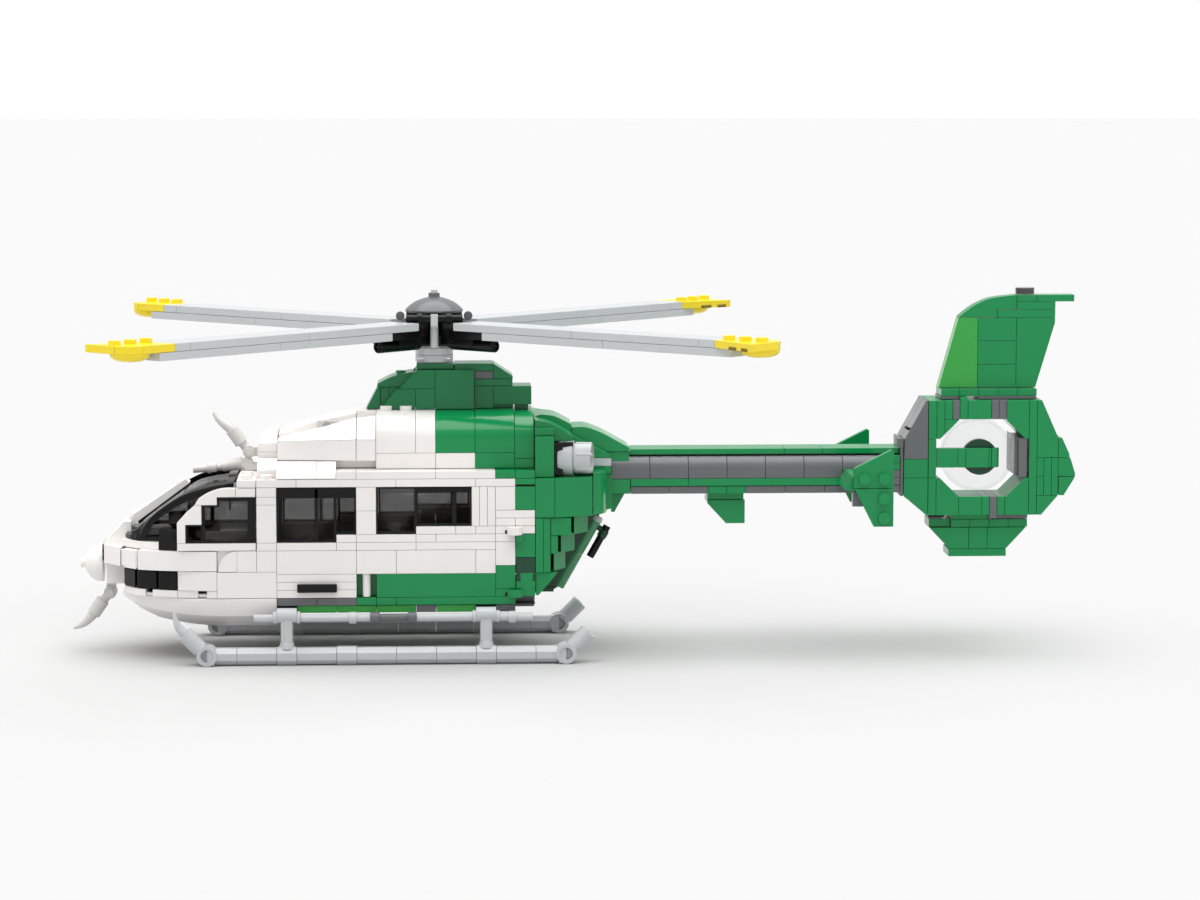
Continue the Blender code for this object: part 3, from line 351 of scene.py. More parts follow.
@lru_cache(maxsize=None)
def part_wheel() -> Growth:
    """A tree that repeats a part about an upright axis."""
    tree = Growth("part_wheel", {"Count": "NodeSocketInt", "First": "NodeSocketFloat",
                                 "Centre": "NodeSocketVector", "Material": "NodeSocketMaterial"})
    graph = tree.graph
    back = graph.node("ShaderNodeVectorMath", {"operation": "SCALE"},
                      {0: tree.input("Centre"), "Scale": -1.0})
    part = graph.node("GeometryNodeTransform", None,
                      {0: tree.input("Geometry"), "Translation": back})
    line = graph.node("GeometryNodeMeshLine", {"mode": "OFFSET"}, {
        "Count": tree.input("Count"), "Offset": (0.0, 0.0, 0.0)})
    share = graph.node("ShaderNodeMath", {"operation": "DIVIDE"},
                       {0: math.tau, 1: tree.input("Count")})
    angle = graph.node("GeometryNodeInputIndex") * share + tree.input("First")
    turn = graph.node("FunctionNodeEulerToRotation", None, {
        0: graph.node("ShaderNodeCombineXYZ", None, {2: angle})})
    wheel = graph.node("GeometryNodeInstanceOnPoints", None, {
        "Points": line, "Instance": part, "Rotation": turn})
    tree.close(graph.node("GeometryNodeTransform", None, {
        0: wheel, "Translation": tree.input("Centre")}))
    return tree


def arc(centre: Flat, width: float, height: float, start: float, end: float,
        steps: int) -> list[Flat]:
    """Points on an elliptic stretch of an outline.

    Args:
        centre: The middle of the ellipse.
        width: Half its width.
        height: Half its height.
        start: The first angle in degrees.
        end: The last angle in degrees.
        steps: The number of chords.

    Returns:
        The points in order.
    """
    angles = [math.radians(start + (end - start) * i / steps) for i in range(steps + 1)]
    return [(centre[0] + width * math.cos(a), centre[1] + height * math.sin(a)) for a in angles]


def along(line: Sequence[Sequence[float]], x: float) -> list[float]:
    """The values at one station of a line, between its points.

    Args:
        line: Points that each start with a station, in order.
        x: The station.

    Returns:
        The other values there.
    """
    for first, second in zip(line, line[1:]):
        if x <= second[0] or second is line[-1]:
            share = min(1.0, max(0.0, (x - first[0]) / (second[0] - first[0])))
            return [a + (b - a) * share for a, b in zip(first[1:], second[1:])]
    raise ValueError("a line needs two points")


def inset(points: Sequence[Flat], margin: float) -> list[Flat]:
    """An outline pulled in on every side.

    Args:
        points: The outline.
        margin: How far each side moves.

    Returns:
        The smaller outline.
    """
    count = len(points)
    area = sum(points[i][0] * points[(i + 1) % count][1] - points[(i + 1) % count][0] * points[i][1]
               for i in range(count))
    sign = 1.0 if area > 0 else -1.0
    result = []
    for i, (u, v) in enumerate(points):
        (pu, pv), (nu, nv) = points[i - 1], points[(i + 1) % count]
        into, out = Vector((u - pu, v - pv)).normalized(), Vector((nu - u, nv - v)).normalized()
        first, second = Vector((-into.y, into.x)), Vector((-out.y, out.x))
        shift = (first + second) * (margin * sign / max(0.35, 1.0 + first.dot(second)))
        result.append((u + shift.x, v + shift.y))
    return result


def smooth_curve(points: Sequence[Sequence[float]], steps: int = 4) -> list[tuple[float, ...]]:
    """Points on a smooth curve through given points.

    Args:
        points: The points that the curve meets.
        steps: The number of pieces between two of them.

    Returns:
        The points of the curve, the first and last of the given ones among them.
    """
    path = [Vector(point) for point in points]
    path = [path[0] * 2 - path[1], *path, path[-1] * 2 - path[-2]]
    curve = []
    for before, start, end, after in zip(path, path[1:], path[2:], path[3:]):
        for i in range(steps):
            t = i / steps
            spot = (start * 2 + (end - before) * t + (before * 2 - start * 5 + end * 4 - after) * t * t
                    + (start * 3 - before - end * 3 + after) * t ** 3) * 0.5
            curve.append(tuple(spot))
    curve.append(tuple(path[-2]))
    return curve


def tapered(count: int, loss: float, power: float) -> list[float]:
    """Shares of a radius at the points of a path, from 1 down by a loss at its end."""
    return [1.0 - loss * (i / (count - 1)) ** power for i in range(count)]


@dataclass
class Bricks:
    """Parts of one colour that are laid together and become one piece.

    A part's Y is its distance from the middle plane where the sides are -1 and 1, and plain Y
    where the only side is 1.
    """

    name: str
    colour: Colour
    body: str = "airframe"
    sides: tuple[int, ...] = BOTH
    edge: float = 0.16
    mesh: bmesh.types.BMesh = field(default_factory=bmesh.new)

    def across(self) -> "Bricks":
        """The same piece, laid by plain Y."""
        return replace(self, sides=MIDDLE)

    def add(self, points: Sequence[Point], faces: Iterable[Sequence[int]]) -> None:
        """Lay a closed shape on each side.

        Args:
            points: Its corners in millimetres.
            faces: Its faces by corner numbers.
        """
        faces = list(faces)
        for side in self.sides:
            corners = [self.mesh.verts.new(at(x, y * side, z)) for x, y, z in points]
            for face in faces:
                self.mesh.faces.new([corners[i] for i in face])

    def block(self, x0: float, x1: float, y0: float, y1: float, z0: float, z1: float,
              gap: float = GAP) -> None:
        """Lay a box less a hair on each side."""
        xs, ys, zs = (x0 + gap, x1 - gap), (y0 + gap, y1 - gap), (z0 + gap, z1 - gap)
        corners = [(x, y, z) for x in xs for y in ys for z in zs]
        self.add(corners, [(0, 1, 3, 2), (4, 6, 7, 5), (0, 4, 5, 1), (2, 3, 7, 6), (0, 2, 6, 4),
                           (1, 5, 7, 3)])

    def wall(self, inner: float, outer: float, rows: Sequence[Sequence[float]]) -> None:
        """Lay rows of bricks.

        Args:
            inner: The inner face's distance from the middle.
            outer: The outer face's distance.
            rows: For each row its bottom, its top and the stations of its joints.
        """
        for low, high, *joints in rows:
            for start, end in zip(joints, joints[1:]):
                self.block(start, end, inner, outer, low, high)

    def prism(self, points: Sequence[Flat], plane: str, low: float, high: float,
              gap: float = GAP) -> None:
        """Lay a flat outline with a thickness.

        Args:
            points: The outline in the plane.
            plane: The plane's two axes.
            low: Where it starts across the plane.
            high: Where it ends.
            gap: How far each face is pulled in.
        """
        ring = inset(points, gap)
        place = {"XZ": lambda u, v, t: (u, t, v), "XY": lambda u, v, t: (u, v, t),
                 "YZ": lambda u, v, t: (t, u, v)}[plane]
        self.loft([[place(u, v, t) for u, v in ring] for t in (low + gap, high - gap)])

    def loft(self, rings: Sequence[Sequence[Point]], closed: bool = True) -> None:
        """Lay a solid through rings of the same count.

        Args:
            rings: The rings in order.
            closed: Whether both ends get a face.
        """
        count = len(rings[0])
        points = [point for ring in rings for point in ring]
        faces = []
        for k in range(len(rings) - 1):
            a, b = k * count, (k + 1) * count
            faces += [(a + i, a + (i + 1) % count, b + (i + 1) % count, b + i) for i in range(count)]
        if closed:
            faces += [tuple(range(count)), tuple(range(len(points) - count, len(points)))]
        self.add(points, faces)

    def turned(self, profile: Sequence[Flat], base: Point, direction: Point,
               sides: int = ROUND, start: float = 0.0) -> None:
        """Lay a turned shape.

        Args:
            profile: Radius and height of its outline, from axis to axis.
            base: The axis's start.
            direction: Where heights grow.
            sides: The number of its sides.
            start: The first side's angle in degrees.
        """
        turn = Vector(direction).normalized().to_track_quat("Z", "Y")
        points, rings = [], []
        for radius, height in profile:
            angles = [math.tau * i / sides + math.radians(start) for i in range(sides)]
            ring = [(0.0, 0.0, height)] if radius < 1e-6 else [
                (radius * math.cos(a), radius * math.sin(a), height) for a in angles]
            rings.append(list(range(len(points), len(points) + len(ring))))
            points += [tuple(Vector(base) + turn @ Vector(p)) for p in ring]
        faces = []
        for first, second in zip(rings, rings[1:]):
            for i in range(sides):
                j = (i + 1) % sides
                corners = [first[i % len(first)], first[j % len(first)],
                           second[j % len(second)], second[i % len(second)]]
                if len(set(corners)) > 2:
                    faces.append(tuple(dict.fromkeys(corners)))
        self.add(points, faces)

    def rod(self, start: Point, end: Point, radius: float, end_radius: Optional[float] = None,
            sides: int = ROUND) -> None:
        """Lay a round bar or cone between two points."""
        way = Vector(end) - Vector(start)
        last = radius if end_radius is None else end_radius
        self.turned([(0, 0), (radius, 0), (last, way.length), (0, way.length)], start, tuple(way),
                    sides)

    def pipe(self, start: Point, end: Point, radius: float, bore: float, depth: float = 3.0,
             sides: int = ROUND) -> None:
        """Lay a bar whose far end is bored."""
        way = Vector(end) - Vector(start)
        size = way.length
        self.turned([(0, 0), (radius, 0), (radius, size), (bore, size), (bore, size - depth),
                     (0, size - depth)], start, tuple(way), sides)

    def tube(self, points: Sequence[Point], radius: float, taper: Optional[Sequence[float]] = None,
             sides: int = 16) -> None:
        """Lay a round sweep along points.

        Args:
            points: The path.
            radius: The tube's radius.
            taper: The share of the radius at each point.
            sides: The number of its sides.
        """
        path = [Vector(point) for point in points]
        rings = []
        for i, spot in enumerate(path):
            way = (path[min(i + 1, len(path) - 1)] - path[max(i - 1, 0)]).normalized()
            first = way.cross(Vector((0.0, 1.0, 0.0) if abs(way.y) < 0.9 else (1.0, 0.0, 0.0)))
            first.normalize()
            second = way.cross(first)
            size = radius * (taper[i] if taper else 1.0)
            rings.append([tuple(spot + (first * math.cos(a) + second * math.sin(a)) * size)
                          for a in (math.tau * k / sides for k in range(sides))])
        self.loft(rings)

    def lay(self, walls: Table = (), plates: Table = (), rods: Table = ()) -> "Bricks":
        """Lay boxes, flat outlines and bars that are given in tables.

        Args:
            walls: For each its inner and outer face, then its rows as wall takes them.
            plates: For each its two faces across the toy, then outlines in X and Z.
            rods: For each bar what rod takes.

        Returns:
            The piece itself, so that it can be finished at once.
        """
        for inner, outer, *rows in walls:
            self.wall(inner, outer, rows)
        for low, high, *outlines in plates:
            for outline in outlines:
                self.prism(outline, "XZ", low, high)
        for bar in rods:
            self.rod(*bar)
        return self

    def absorb(self, mesh: bpy.types.Mesh) -> None:
        """Take in a mesh that is already in metres, on each side."""
        for side in self.sides:
            own = mesh.copy()
            if side < 0:
                own.transform(Matrix.Diagonal((1.0, -1.0, 1.0, 1.0)))
            self.mesh.from_mesh(own)
            bpy.data.meshes.remove(own)
        bpy.data.meshes.remove(mesh)

    def studs(self, points: Sequence[Point], direction: Point = (0, 0, 1),
              radius: float = STUD_RADIUS, height: float = STUD_HEIGHT) -> None:
        """Set coupling studs.

        Args:
            points: The middle of each stud's foot.
            direction: Where the studs point.
            radius: Their radius.
            height: How far they stand out.
        """
        mesh = bpy.data.meshes.new("stud_points")
        mesh.from_pydata([at(*point) for point in points], [], [])
        turn = Vector(direction).to_track_quat("Z", "Y").to_euler()
        self.absorb(stud_field().grow(mesh, {
            "Radius": radius * MM, "Height": height * MM, "Sunk": STUD_SUNK * MM, "Turn": tuple(turn),
            "Material": self.colour.value.material()}))

    def plain_mesh(self) -> bpy.types.Mesh:
        """The parts so far as a mesh, with faces that point outwards."""
        bmesh.ops.recalc_face_normals(self.mesh, faces=self.mesh.faces)
        mesh = bpy.data.meshes.new(self.name)
        self.mesh.to_mesh(mesh)
        self.mesh.free()
        return mesh

    def repeated(self, count: int, step: Point) -> "Bricks":
        """The parts so far, repeated along a line.

        Args:
            count: The number of copies, the first included.
            step: The way from one copy to the next, in millimetres.

        Returns:
            A new piece with all copies.
        """
        return self.grown(part_row(), {"Count": count, "Step": tuple(part * MM for part in step)})

    def wheeled(self, count: int, first: float, centre: Point) -> "Bricks":
        """The parts so far, repeated about an axis.

        Args:
            count: The number of copies.
            first: The first copy's angle.
            centre: The point that the copies turn about.

        Returns:
            A new piece with all copies.
        """
        return self.grown(part_wheel(), {"Count": count, "First": first, "Centre": tuple(at(*centre))})

    def grown(self, tree: Growth, values: dict) -> "Bricks":
        """A new piece of the same kind, grown from the parts so far."""
        made = replace(self, mesh=bmesh.new(), sides=MIDDLE)
        made.absorb(tree.grow(self.plain_mesh(), {**values, "Material": self.colour.value.material()}))
        return made

    def finish(self, *nodes: str) -> bpy.types.Object:
        """Turn the parts into a piece of the model.

        Args:
            nodes: The solids that the piece stands for.

        Returns:
            The piece.
        """
        mesh = self.plain_mesh()
        mesh.materials.clear()
        mesh.materials.append(self.colour.value.material())
        mesh.polygons.foreach_set("material_index", [0] * len(mesh.polygons))
        mesh.shade_smooth()
        piece = bpy.data.objects.new(self.name, mesh)
        bpy.context.scene.collection.objects.link(piece)
        if self.edge:
            bevel = piece.modifiers.new("edge", "BEVEL")
            bevel.width = self.edge * MM
            bevel.segments = EDGE_STEPS
            bevel.limit_method = "ANGLE"
            bevel.angle_limit = math.radians(EDGE_ANGLE)
            bevel.use_clamp_overlap = False
            bevel.harden_normals = True
        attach(piece, self.body)
        if nodes:
            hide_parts(*nodes)
        LOG.info("%s: %d faces", self.name, len(mesh.polygons))
        return piece


def side_name(stem: str, side: int) -> str:
    """A name with its side."""
    return f"{stem}_{'left' if side < 0 else 'right'}"


def pair(stem: str) -> tuple[str, str]:
    """The names of the left and right parts of a stem."""
    return side_name(stem, -1), side_name(stem, 1)


@dataclass
class Studio:
    """Camera, floor and soft light."""

    camera_place: Point = (-0.06105, -1.5169, 0.2455)
    camera_target: Point = (0.01075, 0.0, 0.0819)
    focal_length: float = 111.2
    floor_half: float = 12.0
    sky: tuple[Flat, ...] = ((0.0, 1.03), (0.05, 1.03), (0.07, 0.6), (0.45, 0.6), (0.5, 0.9),
                             (0.79, 0.9), (0.81, 4.0), (1.0, 4.0))

    def build(self) -> None:
        """Set up all of it."""
        self.place_camera()
        self.lay_floor()
        self.light_sky()

    def place_camera(self) -> None:
        """Put the camera at the photograph's viewpoint."""
        data = bpy.data.cameras.new("studio_camera")
        data.lens = self.focal_length
        data.sensor_width = 36.0
        data.clip_end = 60.0
        camera = bpy.data.objects.new("studio_camera", data)
        way = Vector(self.camera_target) - Vector(self.camera_place)
        camera.matrix_world = Matrix.LocRotScale(Vector(self.camera_place),
                                                 way.to_track_quat("-Z", "Y"), None)
        bpy.context.scene.collection.objects.link(camera)
        bpy.context.scene.camera = camera

    def lay_floor(self) -> None:
        """Lay the pale sheet that the toy stands on."""
        half = self.floor_half
        mesh = bpy.data.meshes.new("studio_floor")
        mesh.from_pydata([(-half, -half, 0), (half, -half, 0), (half, half, 0), (-half, half, 0)],
                         [], [(0, 1, 2, 3)])
        mesh.materials.append(FloorFinish().material())
        floor = bpy.data.objects.new("studio_floor", mesh)
        bpy.context.scene.collection.objects.link(floor)

    def light_sky(self) -> None:
        """Light the scene by a white dome, dim near the ground and bright overhead."""
        world = bpy.data.worlds.new("studio_sky")
        world.use_nodes = True
        graph = Graph(world.node_tree)
        way = graph.node("ShaderNodeTexCoord", output="Generated")
        height = graph.node("ShaderNodeSeparateXYZ", None, {0: way}, 2)
        strength = graph.node("ShaderNodeValue")
        strength.socket.default_value = self.sky[0][1]
        for (low, before), (high, after) in zip(self.sky, self.sky[1:]):
            strength = strength + graph.node("ShaderNodeMapRange", None, {
                "Value": height, "From Min": low, "From Max": high, "To Min": 0.0,
                "To Max": after - before})
        dome = graph.node("ShaderNodeBackground", None, {"Color": (1, 1, 1, 1), "Strength": strength})
        graph.node("ShaderNodeOutputWorld", None, {"Surface": dome})
        bpy.context.scene.world = world
        bpy.context.scene.view_settings.view_transform = "Standard"


@dataclass
class Nose:
    """Dome, tiered shell, ridge, black band, belly and landing lamp."""

    dome_x: float = -56.15
    dome_z: float = 36.6
    dome_radius: float = 7.9
    dome_length: float = 7.95
    band: Flat = (29.6, 36.8)
    hull_top: float = 26.25
    hull: tuple[tuple[float, ...], ...] = (
        (-47.4, 14, 10, 23.8), (-41, 22, 14, 19.9), (-33.8, 27, 18, 17.0), (-24, 32, 20, 14.9),
        (-12, 35, 22, 13.6), (4, 36, 24, 13.6), (15.85, 36, 24, 13.6))
    lamp_x: float = -20.7

    def build(self) -> None:
        """Lay all parts of the nose."""
        self.lay_dome()
        self.lay_shell()
        self.lay_ridge_and_band()
        self.lay_belly()
        self.lay_lamp()

    def lay_dome(self) -> None:
        """The round nose cap with its nub, and the black seat behind it."""
        x, z, length = self.dome_x, self.dome_z, self.dome_length
        cap = Bricks("nose_cap", Colour.WHITE, sides=MIDDLE, edge=0.1)
        cap.turned([(0, 0), *arc((0, 0), self.dome_radius, length, 0, 77, 11), (1.1, length - 0.1),
                    (0, length)], (x, 0, z), (-1, 0, 0), 40)
        cap.rod((x - length + 0.3, 0, z), (x - length - 1.4, 0, z), 2.05)
        cap.finish("nose_dome")
        Bricks("nose_cap_seat", Colour.BLACK, sides=MIDDLE).lay(
            [(-9.0, 9.0, (38.4, 45.2, -56.1, -54.6))]).finish()

    def panel(self, shell: Bricks, low: float, high: float, depth: float, *paths: Sequence[Flat]) -> None:
        """Lay wall panels that follow plan lines.

        Args:
            shell: The piece that they belong to.
            low: Their foot.
            high: Their head.
            depth: Their thickness towards the middle.
            paths: The outer face of each, in plan.
        """
        for path in paths:
            back = [(x + (depth * 0.25 if y < 30 else 0), max(0.0, y - depth)) for x, y in reversed(path)]
            shell.prism([*path, *back], "XY", low, high)

    def lay_shell(self) -> None:
        """The white tiers and the wedge."""
        shell = Bricks("nose_shell", Colour.WHITE)
        upper = smooth_curve([(-40.2, 29.2), (-32, 32.6), (-24, 34.6), (-16, 35.6), (-8, 36)], 2)
        lower = smooth_curve([(-23.9, 33.2), (-16, 35.2), (-8, 36)], 3)
        for low, high, depth, *paths in (
                (37.6, 45.4, 9.0, [(-55.4, 9.6), (-47.9, 20.0)]),
                (37.4, 45.2, 9.0, [(-46.2, 21.9), (-41.0, 28.2)]),
                (38.0, 44.6, 9.0, [(-47.6, 19.5), (-40.4, 28.5)]),
                (37.4, 45.5, 8.0, upper), (29.4, 37.3, 8.0, lower),
                (37.0, 45.6, 6.0, [(-8, 34.2), (0.1, 34.2)]),
                (37.0, 45.6, 8.0, [(0.1, 36), (8, 36)], [(8, 36), (16, 36)]),
                (26.4, 37.0, 8.0, [(-8, 36), (16, 36)]),
                (45.4, 48.6, 8.0, [(-47.4, 16.5), (-40.2, 25.2), (-31.6, 29.4)]),
                (26.4, 29.4, 7.0, [(-46.6, 16.2), (-40, 26.6), (-37.2, 27.8)], [(-34.4, 29.0), (-24, 33.0)],
                 [(-24, 33.0), (-15.6, 34.4)], [(-12.2, 35.2), (-8, 36)]),
                (26.5, 28.0, 6.0, [(-46, 14.5), (-40, 25.2), (-24, 31.4), (-8, 34.6)])):
            self.panel(shell, low, high, depth, *paths)
        shell.wall(INNER, HALF_WIDTH, [(48.8, 64.2, 8, 16), (64.2, 67.4, 8, 16), (67.4, 71.2, 8, 16),
                                       (45.6, 48.8, 8, 16)])
        corner = [(-7.5, 37.2), (0.1, 37.2), (0.1, 45.6)]
        shell.prism(corner + arc((0.1, 37.2), 7.6, 8.4, 92, 172, 10), "XZ", 34.0, 36.0, 0.0)
        self.lay_middle(shell.across())
        shell.finish("front_shell")

    def lay_middle(self, middle: Bricks) -> None:
        """The shell's blocks behind the dome and the ridge with its studs."""
        middle.lay([(-8, 8, (28.8, 37.2, -54.6, -46.2), (37.2, 43.0, -55.2, -46.2))],
                   [(-8, 8, [(-56.0, 43.0), (-56.0, 45.0), (-47.2, 54.5), (-44.2, 54.5), (-44.2, 43.0)]),
                    (-4, 4, [(-47.2, 52.0), (-47.2, 54.6), (-22.2, 71.4), (-20.4, 69.6), (-44.2, 52.0)])])
        for x, z in ((-43.6, 56.4), (-39.0, 59.5), (-24.6, 69.2)):
            middle.studs([(x, 0, z)], (-0.56, 0, 0.83), 1.7, 1.1)

    def lay_ridge_and_band(self) -> None:
        """The dark gap behind the tiers and the black band of bevelled blocks."""
        gap = Bricks("nose_shadow", Colour.BLACK)
        self.panel(gap, 26.6, 48.4, 3.0, [(-44, 14), (-38, 22), (-24, 29), (-10, 32)])
        gap.finish()
        band = Bricks("nose_band_blocks", Colour.BLACK, edge=0.35)
        self.panel(band, *self.band, 8.0, [(-46.6, 17.8), (-41.6, 24.6)],
                   smooth_curve([(-40.8, 25.6), (-36, 28.4), (-32.6, 29.8)], 2),
                   smooth_curve([(-31.9, 30.2), (-28, 31.7), (-24.2, 33)], 2))
        band.finish("nose_band")

    def lay_belly(self) -> None:
        """The curved hull under the nose, in three overlapping shells.

        A station of the hull has its X, the half widths of its top and of its floor, and its
        floor's height.
        """
        belly = Bricks("belly_slopes", Colour.WHITE, edge=0.2)
        curve, top = smooth_curve(self.hull, 4), self.hull_top
        for start, end, grow in ((-47.4, -37.0, -0.5), (-42.0, -28.0, -0.25), (-33.8, 15.85, 0.0)):
            rings = []
            for x, wide, narrow, low in curve:
                if start - 0.01 <= x <= end + 0.01:
                    left = [(x, -wide - grow, top), (x, -wide - grow, top - 1.7),
                            (x, -(wide * 0.8 + narrow * 0.2), low + (top - low) * 0.42),
                            (x, -narrow - grow, low - grow)]
                    rings.append(left + [(a, -b, c) for a, b, c in reversed(left)])
            belly.across().loft(rings)
        belly.finish("belly_hull")

    def lay_lamp(self) -> None:
        """The landing lamp under the belly."""
        x, seat = self.lamp_x, 12.2
        Bricks("landing_lamp_ring", Colour.DARK_GREY, sides=MIDDLE).lay(
            rods=[((x, 0, 14.6), (x, 0, seat), 3.7)]).finish("landing_lamp")
        lens = Bricks("landing_lamp_lens", Colour.CLEAR, sides=MIDDLE, edge=0.0)
        lens.turned([(0, 0), (3.1, 0), (3.0, 1.0), (2.2, 1.6), (0, 1.8)], (x, 0, seat), (0, 0, -1))
        lens.finish()


@dataclass
class Windscreen:
    """Black canopy frame with one curved smoke pane.

    A station has its X, the half width, and the heights of the side edge, of the shoulder and
    of the ridge.
    """

    stations: tuple = (
        (-46.2, 15.0, 49.2, 50.2, 50.4), (-44.0, 19.4, 49.0, 51.4, 51.8),
        (-41.4, 23.2, 48.95, 52.6, 53.6), (-39.8, 24.7, 49.6, 54.0, 54.9),
        (-38.6, 25.5, 52.4, 55.2, 55.8), (-35.4, 27.2, 57.8, 58.3, 58.2),
        (-30.4, 29.0, 62.2, 62.4, 61.9), (-24.2, 30.3, 66.3, 66.6, 66.4),
        (-20.2, 30.9, 68.3, 68.8, 69.2), (-16.0, 31.2, 69.7, 70.5, 71.2),
        (-8.4, 31.4, 71.6, 72.3, 72.7), (-1.0, 31.5, 72.7, 73.3, 73.5))
    foot: float = 48.8
    arch: tuple[Flat, ...] = ((-50.0, 48.8), (-37.0, 48.8), (-36.6, 51.6), (-33.4, 56.2), (-28.6, 60.2),
                              (-22.8, 63.9), (-15.4, 67.0), (-8.2, 68.9), (-1.0, 70.0))
    window: tuple[Flat, ...] = ((-43.3, 15.2), (-41.2, 18.6), (-38.4, 22.2), (-35.0, 24.2), (-30.0, 26.0),
                                (-24.0, 27.3), (-16.0, 28.2), (-4.5, 28.5))
    door_line: tuple[Flat, ...] = ((-22.4, 59.0), (-15.0, 65.0), (-9.0, 68.2), (-2.0, 69.4), (0.0, 69.5))
    thickness: float = 1.1
    pane_depth: Flat = (1.3, 2.2)

    def build(self) -> None:
        """Lay the frame, the pane and the cheek blocks."""
        self.lay_frame()
        self.lay_pane()

    def curve(self, start: float, end: float) -> list[list[float]]:
        """The stations between two X, on a smooth curve through the given ones."""
        line = smooth_curve(self.stations, 3)
        inside = [point[0] for point in line if start + 0.2 < point[0] < end - 0.2]
        return [[x, *along(line, x)] for x in (start, *inside, end)]

    def half_ring(self, station: Sequence[float], foot: float, reach: float, depth: float) -> list[Point]:
        """Half a cross-section, from its foot on the side to where it stops on top.

        Args:
            station: The canopy's values there.
            foot: The height of the side's lower end.
            reach: How near the middle it ends.
            depth: How far it lies inside the canopy's skin.

        Returns:
            The points on the left.
        """
        x, half, edge, shoulder, ridge = station
        turn = half - 2.5
        top = shoulder + (ridge - shoulder) * (turn - reach) / (turn - 8.0) if reach > 8.0 else ridge
        foot = min(foot, edge - depth - 0.3)
        return [(x, -(half - depth), foot), (x, -(half - depth), edge - depth * 0.9),
                (x, -(turn - depth * 0.4), shoulder - depth), (x, -min(reach, turn - 1.0), top - depth)]

    def rib(self, station: Sequence[float], foot: float, reach: float, drop: float = 0.0) -> list[Point]:
        """A closed cross-section of the frame on the right, set a little lower where asked."""
        outer, inner = (self.half_ring(station, foot, reach, depth) for depth in (0.0, self.thickness))
        return [(x, -y, z - drop) for x, y, z in outer + inner[::-1]]

    def lay_frame(self) -> None:
        """The side arches, the rear bar, the lip and the cheek blocks."""
        frame = Bricks("canopy_frame", Colour.BLACK, edge=0.2)
        frame.loft([self.rib(station, along(self.arch, station[0])[0], along(self.window, station[0])[0])
                    for station in self.curve(-43.2, -1.2)])
        frame.loft([self.rib(station, 70.0, 0.1, 0.02) for station in self.curve(-4.5, -1.1)])
        foot = self.foot
        for outline, low, high in (
                ([(-46.1, 8.3), (-46.1, 14.9), (-43.9, 19.2), (-43.2, 20.2), (-43.2, 8.3)], foot, 50.4),
                ([(-43.9, 0.0), (-43.9, 8.3), (-43.2, 8.3), (-43.2, 0.0)], foot, 50.6),
                ([(-43.0, 19.0), (-41.4, 22.9), (-37.4, 26.0), (-24.3, 30.2), (-24.3, 28.6), (-37.0, 24.5),
                  (-40.8, 21.5), (-42.0, 18.6)], foot, 50.6)):
            frame.prism(outline, "XY", low, high)
        frame.tube([(x, half - 0.05, edge - 1.6) for x, half, edge, _, _ in self.curve(-37.0, -1.4)],
                   0.3, None, 8)
        frame.prism([(-31.4, 27.7), (-24.3, 29.4), (-24.3, 33.3), (-31.4, 30.3)], "XY", 45.6, 53.9, 0.0)
        frame.prism([(-30.6, 30.0), (-25.1, 32.4), (-25.1, 33.3), (-30.6, 30.9)], "XY", 49.8, 52.8, 0.0)
        frame.finish("windscreen_frame")

    def lay_pane(self) -> None:
        """The curved pane, lower in front of the doors."""
        pane = Bricks("canopy_pane", Colour.SMOKE, sides=MIDDLE, edge=0.0)
        door_front = self.door_line[0][0]
        for start, end, foot in ((-43.9, door_front - 0.05, lambda x: self.foot + 0.2),
                                 (door_front, -1.6, lambda x: along(self.door_line, x)[0])):
            rings = []
            for station in self.curve(start, end):
                outer, inner = (self.half_ring(station, foot(station[0]), 8.0, depth)
                                for depth in self.pane_depth)
                outer += [(x, -y, z) for x, y, z in reversed(outer)]
                inner += [(x, -y, z) for x, y, z in reversed(inner)]
                rings.append(outer + inner[::-1])
            pane.loft(rings)
        pane.finish("windscreen_glass")


@dataclass
class Window:
    """A smoke pane in a thin black frame that fills a stepped opening."""

    outline: tuple[Flat, ...]
    depth: float = 33.4
    body: str = "airframe"
    sides: tuple[int, ...] = BOTH
    rim: float = 0.8
    bars: tuple[tuple[float, float, float, float], ...] = ()

    def build(self, stem: str, *nodes: str) -> None:
        """Lay the pane and its frame.

        Args:
            stem: The start of the pieces' names.
            nodes: The solids that the pane stands for.
        """
        frame = Bricks(f"{stem}_rim", Colour.BLACK, self.body, self.sides, 0.12)
        outer, inner = inset(self.outline, 0.12), inset(self.outline, self.rim)
        back, front = self.depth - 2.6, self.depth + 1.4
        frame.loft([[(x, y, z) for x, z in ring] for ring, y in (
            (outer, back), (outer, front), (inner, front), (inner, back), (outer, back))], closed=False)
        for x0, x1, z0, z1 in self.bars:
            frame.block(x0, x1, self.depth - 2.4, self.depth + 0.9, z0, z1)
        frame.finish()
        pane = Bricks(f"{stem}_pane", Colour.SMOKE, self.body, self.sides, 0.0)
        pane.prism(inset(self.outline, self.rim * 0.5), "XZ", self.depth - 0.9, self.depth + 0.7, 0.0)
        pane.finish(*nodes)


COCKPIT_WINDOW = ((-20.4, 48.8), (-20.4, 56.3), (-13.9, 56.3), (-13.9, 64.2), (-7.7, 64.2),
                  (-7.7, 67.4), (7.7, 67.4), (7.7, 48.8))
MID_WINDOW = ((16.0, 48.8), (16.0, 71.2), (48.0, 71.2), (48.0, 52.0), (40.0, 52.0), (40.0, 48.8))
AFT_WINDOW = ((56.0, 52.0), (56.0, 71.2), (94.4, 71.2), (94.4, 55.2), (72.0, 55.2), (72.0, 52.0))


